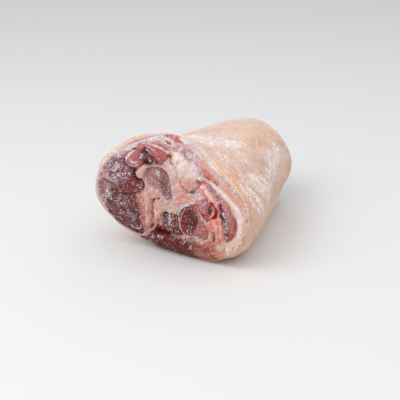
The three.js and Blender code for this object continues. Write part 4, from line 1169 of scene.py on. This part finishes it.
def bone_rows(bone, along, ring):
    """Points (x, z) round a bone at places along it: ellipses whose half sizes go from the wide
    end into the shaft and to the shank end by eased steps, and whose tilt dies out."""
    turn = np.linspace(0, 2 * np.pi, BONE_ROUND, endpoint=False)
    along, ring = along[:, None], ring[:, None]
    flare, foot = 1 - smooth(0, BONE_FLARE, along), smooth(1 - BONE_FLARE, 1, along)
    sizes = zip(bone["shaft"], bone["front_half"], bone["far_half"])
    wide, high = (ring * (shaft + (front - shaft) * flare + (far - shaft) * foot)
                  for shaft, front, far in sizes)
    wide, high = wide * np.cos(turn), high * np.sin(turn)
    x, z = (front + (far - front) * along for front, far in zip(bone["front"], bone["far"]))
    tilt = np.radians(bone["tilt"]) * (1 - along)
    return (x + wide * np.cos(tilt) - high * np.sin(tilt),
            z + wide * np.sin(tilt) + high * np.cos(tilt))


def make_bone(name):
    """A bone: rings over its wide end, the shaft, and rings over its shank end, with a point in
    the middle of each end. The ends follow the cuts, and their sawn edges are a little worn."""
    bone = BONES[name]
    ring = np.linspace(0, 1, BONE_RINGS + 1)[1:]
    shaft = np.linspace(0, 1, BONE_ROWS + 1)[1:-1]
    along = np.concatenate([0 * ring, shaft, 0 * ring + 1])
    grow = np.concatenate([ring, 0 * shaft + 1, ring[::-1]])
    x, z = (np.concatenate([rows.ravel(), ends]) for rows, ends in
            zip(bone_rows(bone, along, grow), zip(bone["front"], bone["far"])))
    place = np.concatenate([np.repeat(along, BONE_ROUND), [0.0, 1.0]])
    worn = BONE_WORN * smooth(*WORN_RINGS, np.concatenate([np.repeat(grow, BONE_ROUND), [0, 0]]))
    front_y, front_paint = cut_surface(x, z, *ring_of(x, z, 0.0))
    far_y, far_paint = shank_surface(x, z, ring_of(x, z, 1.0)[1])
    y = (front_y + worn) * (1 - place) + (far_y - worn) * place
    front = place < 0.5
    paint = {key: np.where(front if front_paint[key].ndim == 1 else front[:, None],
                           front_paint[key], far_paint[key]) for key in front_paint}
    rows = np.arange(len(along) * BONE_ROUND).reshape(len(along), BONE_ROUND)
    tip, heel = np.full(BONE_ROUND, rows.size), np.full(BONE_ROUND, rows.size + 1)
    faces = [band_quads(rows)[:, ::-1],
             np.stack([tip, rows[0], np.roll(rows[0], -1)], -1),
             np.stack([heel, np.roll(rows[-1], -1), rows[-1]], -1)]
    return make_piece(name + "_piece", np.stack([x, y, z], -1), faces, paint, name)


def add(tree, kind, inputs=None, **settings):
    """A node with its settings; inputs are sockets to link from, or plain values."""
    made = tree.nodes.new(kind)
    for key, value in settings.items():
        setattr(made, key, value)
    for key, value in (inputs or {}).items():
        if isinstance(value, bpy.types.NodeSocket):
            tree.links.new(value, made.inputs[key])
        else:
            made.inputs[key].default_value = value
    return made


def maths(tree, operation, first, second=0.0, clamp=False):
    """Arithmetic on two values, held between 0 and 1 if clamped."""
    return add(tree, "ShaderNodeMath", {0: first, 1: second}, operation=operation,
               use_clamp=clamp).outputs[0]


def times(tree, first, second, clamp=False):
    """The product of two values."""
    return maths(tree, "MULTIPLY", first, second, clamp)


def scaled(tree, vector, by):
    """A vector multiplied axis by axis."""
    return add(tree, "ShaderNodeVectorMath", {0: vector, 1: by}, operation="MULTIPLY").outputs[0]


def noise(tree, vector, stretch, detail=2.0, roughness=0.55, distortion=0.0):
    """Noise over a vector that is multiplied by stretch first, so 1 is one cell a millimetre."""
    inputs = {"Vector": scaled(tree, vector, stretch), "Scale": 1.0, "Detail": detail,
              "Roughness": roughness, "Distortion": distortion}
    return add(tree, "ShaderNodeTexNoise", inputs).outputs["Fac"]


def mixed(tree, factor, first, second, blend_type="MIX"):
    """The first colour, mixed with the second by a factor."""
    return add(tree, "ShaderNodeMix", {0: factor, 6: first, 7: second}, data_type="RGBA",
               blend_type=blend_type).outputs[2]


def tinted(tree, colour, tint):
    """A colour multiplied by a tint."""
    return mixed(tree, 1.0, colour, tint, "MULTIPLY")


def remap(tree, value, low, high, to_low=0.0, to_high=1.0, kind="SMOOTHSTEP"):
    """A value carried from one range to another, eased or straight, and held inside it."""
    inputs = {"Value": value, "From Min": low, "From Max": high, "To Min": to_low,
              "To Max": to_high}
    return add(tree, "ShaderNodeMapRange", inputs, interpolation_type=kind).outputs["Result"]


def spread(tree, value, low, high):
    """A value from 0 to 1 carried straight to the range from low to high."""
    return remap(tree, value, 0.0, 1.0, low, high, "LINEAR")


def shade(colour):
    """A hex colour as a shader's colour."""
    return (*linear(colour), 1.0)


def new_group(name, inputs, outputs):
    """An empty node group with its sockets; what it is given and what it has to put out."""
    group = bpy.data.node_groups.new(name, "ShaderNodeTree")
    for sockets, side in ((inputs, "INPUT"), (outputs, "OUTPUT")):
        for label, kind in sockets.items():
            group.interface.new_socket(label, in_out=side, socket_type="NodeSocket" + kind)
    got = group.nodes.new("NodeGroupInput").outputs
    return group, got, group.nodes.new("NodeGroupOutput").inputs


# Clusters that gather the frost: stretch of their noise, its range, and what that makes of frost
CLUSTER_STRETCH, CLUSTER_NOISE, CLUSTER_FROST = (0.16, 0.23, 0.23), (0.34, 0.66), (0.25, 1.5)
# Soft grains: stretch of their noise, the level it has to pass, how far that falls with frost, how
# far their edge blurs, their white, and the share of it over the haze
GRAIN_STRETCH, GRAIN_LEVEL, GRAIN_FALL, GRAIN_BLUR = (0.62, 0.92, 0.92), 0.7, 0.33, 0.06
GRAIN_WHITE, GRAIN_SHARE = "#f6f2f2", 0.4
# Crystals: cells a millimetre and the share of cells that show at full frost, large to small;
# their least and greatest radius and cover, blur, length along the grain and white
CRYSTALS = [(0.6, 0.34), (0.95, 0.55), (1.5, 0.7)]
CRYSTAL_SIZES, CRYSTAL_COVERS, CRYSTAL_BLUR = (0.16, 0.46), (0.55, 1.0), 0.12
CRYSTAL_LENGTH, CRYSTAL_WHITE = 0.8, "#f5f2f3"
# Jagged edges of the crystals: cells a millimetre and how far they push the pattern
JAG_SCALE, JAG_PUSH = 1.1, (0.5, 0.5, 0.0)


def soft_grains(group, got, gathered):
    """Mask of soft grains: they show where a fine noise passes a level that falls as the frost
    grows."""
    grains = noise(group, got["Grain"], GRAIN_STRETCH, detail=1.5)
    level = maths(group, "SUBTRACT", GRAIN_LEVEL, times(group, gathered, GRAIN_FALL))
    shown = remap(group, grains, maths(group, "SUBTRACT", level, GRAIN_BLUR),
                  maths(group, "ADD", level, GRAIN_BLUR))
    return times(group, shown, times(group, got["Soft"], got["Amount"], clamp=True))


def crystal_layer(group, ragged, gathered, across, share):
    """Mask of crystals: spots of chance size and whiteness in the cells of a pattern; the more
    frost, the more cells show theirs."""
    pattern = scaled(group, ragged, (CRYSTAL_LENGTH * across, across, 1.0))
    cells = add(group, "ShaderNodeTexVoronoi", {"Vector": pattern, "Scale": 1.0}, feature="F1",
                voronoi_dimensions="2D").outputs
    chance = add(group, "ShaderNodeSeparateColor", {"Color": cells["Color"]}).outputs
    shown = maths(group, "LESS_THAN", chance["Red"], times(group, gathered, share))
    size = spread(group, chance["Green"], *CRYSTAL_SIZES)
    spot = remap(group, cells["Distance"], size, maths(group, "SUBTRACT", size, CRYSTAL_BLUR))
    cover = times(group, shown, spread(group, chance["Blue"], *CRYSTAL_COVERS))
    return times(group, spot, cover)


def frost_group():
    """Frost: a thin haze, soft grains and crisp crystals of three sizes, all gathered into
    clusters by a broad noise."""
    group, got, put = new_group(
        "frost_dusting",
        {"Colour": "Color", "Amount": "Float", "Grain": "Vector", "Haze": "Color",
         "Veil": "Float", "Soft": "Float"},
        {"Colour": "Color", "Mask": "Float"})
    clusters = noise(group, got["Grain"], CLUSTER_STRETCH, roughness=0.6)
    gathered = times(group, got["Amount"], remap(group, clusters, *CLUSTER_NOISE, *CLUSTER_FROST))
    veil = times(group, gathered, got["Veil"], clamp=True)
    white = mixed(group, veil, got["Colour"], got["Haze"])
    mask = soft_grains(group, got, gathered)
    white = mixed(group, mask, white,
                  mixed(group, GRAIN_SHARE, got["Haze"], shade(GRAIN_WHITE)))
    jags = add(group, "ShaderNodeTexNoise", {"Vector": got["Grain"], "Scale": JAG_SCALE,
                                             "Detail": 1.0}).outputs["Color"]
    ragged = add(group, "ShaderNodeVectorMath", {0: jags, 1: JAG_PUSH, 2: got["Grain"]},
                 operation="MULTIPLY_ADD").outputs[0]
    for across, share in CRYSTALS:
        crystal = crystal_layer(group, ragged, gathered, across, share)
        white = mixed(group, crystal, white, shade(CRYSTAL_WHITE))
        mask = maths(group, "MAXIMUM", mask, crystal)
    group.links.new(white, put["Colour"])
    group.links.new(mask, put["Mask"])
    return group


# Threads and blotches of the grain: stretch of their noise and share in the tone
THREAD_STRETCH, THREAD_SHARE = (0.12, 1.1, 1.1), 0.65
BLOTCH_STRETCH, BLOTCH_SHARE = (0.16, 0.26, 0.26), 0.35
# Tones from which threads darken and brighten, what they are multiplied by, and a pale bloom
DARK_TONES, DARK_TINT = (0.52, 0.32), "#a87a76"
LIGHT_TONES, LIGHT_TINT = (0.52, 0.72), (1.5, 1.4, 1.35, 1.0)
THREAD_BLOOM, BLOOM_SHARE = "#f0d2c8", 0.06


def fibre_group():
    """Fibres: darker and lighter threads along the grain, and broad blotches."""
    group, got, put = new_group(
        "fibre_grain", {"Colour": "Color", "Grain": "Vector", "Depth": "Float"},
        {"Colour": "Color", "Height": "Float"})
    colour, depth = got["Colour"], got["Depth"]
    threads = noise(group, got["Grain"], THREAD_STRETCH, detail=3.0, roughness=0.6, distortion=0.3)
    blotches = noise(group, got["Grain"], BLOTCH_STRETCH)
    tone = maths(group, "ADD", times(group, threads, THREAD_SHARE),
                 times(group, blotches, BLOTCH_SHARE))
    dark = times(group, remap(group, tone, *DARK_TONES), depth)
    toned = mixed(group, dark, colour, tinted(group, colour, shade(DARK_TINT)))
    light = times(group, remap(group, tone, *LIGHT_TONES), depth)
    bright = mixed(group, BLOOM_SHARE, tinted(group, colour, LIGHT_TINT), shade(THREAD_BLOOM))
    group.links.new(mixed(group, light, toned, bright), put["Colour"])
    group.links.new(threads, put["Height"])
    return group


# Depth in metres to which light wanders under a surface; height of frost in the bump, roughness
SUBSURFACE_SCALE, FROST_HEIGHT, FROST_ROUGH = 0.0025, 0.6, 0.75
# Attributes that materials read, and the socket of each
ATTRIBUTES = {"paint": "Color", "frost": "Fac", "thread": "Fac", "fibre": "Vector"}
# Dustings of frost: haze, its strength, and strength of the soft grains
TISSUE_DUST = dict(haze="#cdb6be", veil=0.11, soft=0.6)
SKIN_DUST = dict(haze="#dad3d4", veil=0.22, soft=0.1)
SKIN_BRUSHED = dict(haze="#e8e0dd", veil=0.1, soft=0.2)
# Stretch of the crystals on the skin and in its brushed streaks, and the strength of each
DUST_STRETCH, DUST_AMOUNT = (1.05, 0.95, 1.0), 2.0
BRUSHED_STRETCH, BRUSHED_AMOUNT = (0.24, 0.72, 0.0), 1.7
# Skin: pores a millimetre, stretch of its creases and mottling, the tones from which mottling
# darkens and brightens, how strongly, the colours it goes to, and heights in the bump
PORE_SCALE, CREASE_STRETCH, MOTTLE_STRETCH = 0.7, (0.25, 0.4, 1.0), (0.07, 0.08, 1.0)
MOTTLE_DARK, MOTTLE_DARKER, MOTTLE_TINT = (0.55, 0.3), 0.3, "#eebfa8"
MOTTLE_LIGHT, MOTTLE_LIGHTER, MOTTLE_BLOOM = (0.5, 0.72), 0.16, "#efd6c8"
CREASE_HEIGHT, PORE_HEIGHT = 0.5, 0.2
# Bone: cells a millimetre, distances over which their walls darken, how strongly, the tint of the
# walls and their height in the bump
CELL_SCALE, CELL_WALLS, CELL_DARKER = 0.9, (0.25, 0.6), 0.25
CELL_TINT, CELL_HEIGHT = "#b08a86", -0.5


def new_material(name, subsurface, radius, specular):
    """A material that reads colour, frost, threads and fibre from the piece's own attributes."""
    material = bpy.data.materials.new(name)
    material.use_nodes = True
    tree = material.node_tree
    shader = tree.nodes["Principled BSDF"]
    shader.inputs["Subsurface Weight"].default_value = subsurface
    shader.inputs["Subsurface Radius"].default_value = radius
    shader.inputs["Subsurface Scale"].default_value = SUBSURFACE_SCALE
    shader.inputs["Specular IOR Level"].default_value = specular
    read = {key: add(tree, "ShaderNodeAttribute", attribute_name=key).outputs[socket]
            for key, socket in ATTRIBUTES.items()}
    return material, tree, shader, read


def threaded(tree, nodes, colour, read):
    """A colour with threads along the grain, and their height."""
    inputs = {"Colour": colour, "Grain": read["fibre"], "Depth": read["thread"]}
    made = add(tree, "ShaderNodeGroup", inputs, node_tree=nodes).outputs
    return made["Colour"], made["Height"]


def dusted(tree, nodes, colour, amount, grain, haze, veil, soft):
    """A colour with frost over it, and the frost's mask."""
    inputs = {"Colour": colour, "Amount": amount, "Grain": grain, "Haze": shade(haze),
              "Veil": veil, "Soft": soft}
    made = add(tree, "ShaderNodeGroup", inputs, node_tree=nodes).outputs
    return made["Colour"], made["Mask"]


def finish_material(tree, shader, colour, mask, height, bare_rough, bump, distance):
    """Colour, roughness that rises with frost, and bump from height and frost."""
    piled = maths(tree, "ADD", height, times(tree, mask, FROST_HEIGHT))
    bumped = add(tree, "ShaderNodeBump", {"Strength": bump, "Distance": distance, "Height": piled})
    tree.links.new(colour, shader.inputs["Base Color"])
    tree.links.new(spread(tree, mask, bare_rough, FROST_ROUGH), shader.inputs["Roughness"])
    tree.links.new(bumped.outputs["Normal"], shader.inputs["Normal"])


def flesh_material(frost_nodes, fibre_nodes):
    """Cut flesh: moist threads along the grain under a dusting of frost."""
    material, tree, shader, read = new_material("cut_flesh", subsurface=0.12,
                                                radius=(1.0, 0.35, 0.25), specular=0.2)
    colour, height = threaded(tree, fibre_nodes, read["paint"], read)
    colour, mask = dusted(tree, frost_nodes, colour, read["frost"], read["fibre"], **TISSUE_DUST)
    finish_material(tree, shader, colour, mask, height, bare_rough=0.42, bump=0.35,
                    distance=0.0008)
    return material


def rind_material(frost_nodes):
    """Rind: smooth peach skin with faint mottling, fine pores and slanting brushes of frost."""
    material, tree, shader, read = new_material("rind_skin", subsurface=0.15,
                                                radius=(1.0, 0.45, 0.3), specular=0.25)
    paint, fibre = read["paint"], read["fibre"]
    parts = add(tree, "ShaderNodeSeparateXYZ", {"Vector": fibre}).outputs
    flat = add(tree, "ShaderNodeCombineXYZ", {"X": parts["X"], "Y": parts["Z"]}).outputs["Vector"]
    pores = add(tree, "ShaderNodeTexVoronoi", {"Vector": flat, "Scale": PORE_SCALE},
                feature="F1").outputs["Distance"]
    creases = noise(tree, flat, CREASE_STRETCH, detail=3.0, roughness=0.6, distortion=0.4)
    mottle = noise(tree, flat, MOTTLE_STRETCH, detail=4.0, roughness=0.6)
    dark = times(tree, remap(tree, mottle, *MOTTLE_DARK), MOTTLE_DARKER)
    light = times(tree, remap(tree, mottle, *MOTTLE_LIGHT), MOTTLE_LIGHTER)
    colour = mixed(tree, dark, paint, tinted(tree, paint, shade(MOTTLE_TINT)))
    colour = mixed(tree, light, colour, shade(MOTTLE_BLOOM))
    colour, specks = dusted(tree, frost_nodes, colour, times(tree, read["frost"], DUST_AMOUNT),
                            scaled(tree, flat, DUST_STRETCH), **SKIN_DUST)
    colour, brushed = dusted(tree, frost_nodes, colour,
                             times(tree, read["thread"], BRUSHED_AMOUNT),
                             scaled(tree, fibre, BRUSHED_STRETCH), **SKIN_BRUSHED)
    height = maths(tree, "ADD", times(tree, creases, CREASE_HEIGHT),
                   times(tree, pores, PORE_HEIGHT))
    finish_material(tree, shader, colour, maths(tree, "MAXIMUM", specks, brushed), height,
                    bare_rough=0.5, bump=0.06, distance=0.0005)
    return material


def bone_material(frost_nodes, fibre_nodes):
    """Sawn bone: fine cells with darker walls, threads, and a dusting of frost."""
    material, tree, shader, read = new_material("sawn_bone", subsurface=0.08,
                                                radius=(1.0, 0.4, 0.3), specular=0.2)
    paint, fibre = read["paint"], read["fibre"]
    cells = add(tree, "ShaderNodeTexVoronoi", {"Vector": fibre, "Scale": CELL_SCALE},
                feature="F1").outputs["Distance"]
    walls = remap(tree, cells, *CELL_WALLS, 0.0, CELL_DARKER)
    colour = mixed(tree, walls, paint, tinted(tree, paint, shade(CELL_TINT)))
    colour, threads = threaded(tree, fibre_nodes, colour, read)
    colour, mask = dusted(tree, frost_nodes, colour, read["frost"], fibre, **TISSUE_DUST)
    height = maths(tree, "ADD", threads, times(tree, cells, CELL_HEIGHT))
    finish_material(tree, shader, colour, mask, height, bare_rough=0.48, bump=0.3,
                    distance=0.0008)
    return material


# Floor: half size and drop in metres, colour and roughness; light of the room: colour, strength
FLOOR_HALF, FLOOR_DROP, FLOOR_COLOUR, FLOOR_ROUGH = 4.0, 0.0003, "#dcdcdb", 0.8
ROOM_COLOUR, ROOM_STRENGTH = (0.95, 0.97, 1.0, 1.0), 0.72
# Lights: place, size and power; all look at one point
LIGHTS = {"key_light": ((-0.4, -0.9, 1.2), 1.0, 11.0), "top_light": ((0.6, -0.1, 1.4), 1.2, 6.0)}
LIGHT_AIM = (0, 0, 0.05)
# Camera: place, turn in degrees, lens and sensor in millimetres
CAMERA_PLACE, CAMERA_TURN = (0.33705, -0.6641, 0.335), (67.4, 0.0, 28.0)
CAMERA_LENS, CAMERA_SENSOR = 78.39, 36.0


def make_floor():
    """A plain pale floor just under the part."""
    mesh = bpy.data.meshes.new("floor")
    h = FLOOR_HALF
    mesh.from_pydata([(-h, -h, 0), (h, -h, 0), (h, h, 0), (-h, h, 0)], [], [(0, 1, 2, 3)])
    floor = bpy.data.objects.new("floor", mesh)
    floor.location.z = -FLOOR_DROP
    bpy.context.collection.objects.link(floor)
    material = bpy.data.materials.new("pale_floor")
    material.use_nodes = True
    shader = material.node_tree.nodes["Principled BSDF"]
    shader.inputs["Base Color"].default_value = shade(FLOOR_COLOUR)
    shader.inputs["Roughness"].default_value = FLOOR_ROUGH
    mesh.materials.append(material)


def make_room():
    """Even light from all round, and plain tones in the picture."""
    world = bpy.data.worlds.new("soft_room")
    world.use_nodes = True
    sky = world.node_tree.nodes["Background"]
    sky.inputs["Color"].default_value = ROOM_COLOUR
    sky.inputs["Strength"].default_value = ROOM_STRENGTH
    bpy.context.scene.world = world
    view = bpy.context.scene.view_settings
    view.view_transform = "Standard"
    view.look = "None"


def add_light(name, place, size, power):
    """A square soft light, turned so that its axis points at LIGHT_AIM."""
    lamp = bpy.data.lights.new(name, "AREA")
    lamp.shape = "SQUARE"
    lamp.size = size
    lamp.energy = power
    light = bpy.data.objects.new(name, lamp)
    bpy.context.collection.objects.link(light)
    light.location = place
    back = np.array(place) - np.array(LIGHT_AIM)
    pitch = math.atan2(math.hypot(back[0], back[1]), back[2])
    light.rotation_euler = (pitch, 0.0, math.atan2(back[0], -back[1]))


def make_camera():
    """The view of the photo."""
    lens = bpy.data.cameras.new("camera")
    lens.lens = CAMERA_LENS
    lens.sensor_width = CAMERA_SENSOR
    camera = bpy.data.objects.new("camera", lens)
    bpy.context.collection.objects.link(camera)
    camera.location = CAMERA_PLACE
    camera.rotation_euler = [math.radians(a) for a in CAMERA_TURN]
    bpy.context.scene.camera = camera


make_camera()
make_floor()
make_room()
for light_name, light in LIGHTS.items():
    add_light(light_name, *light)
frost_nodes = frost_group()
fibre_nodes = fibre_group()
bone_look = bone_material(frost_nodes, fibre_nodes)
make_flesh().data.materials.append(flesh_material(frost_nodes, fibre_nodes))
make_rind().data.materials.append(rind_material(frost_nodes))
for bone_name in BONES:
    make_bone(bone_name).data.materials.append(bone_look)
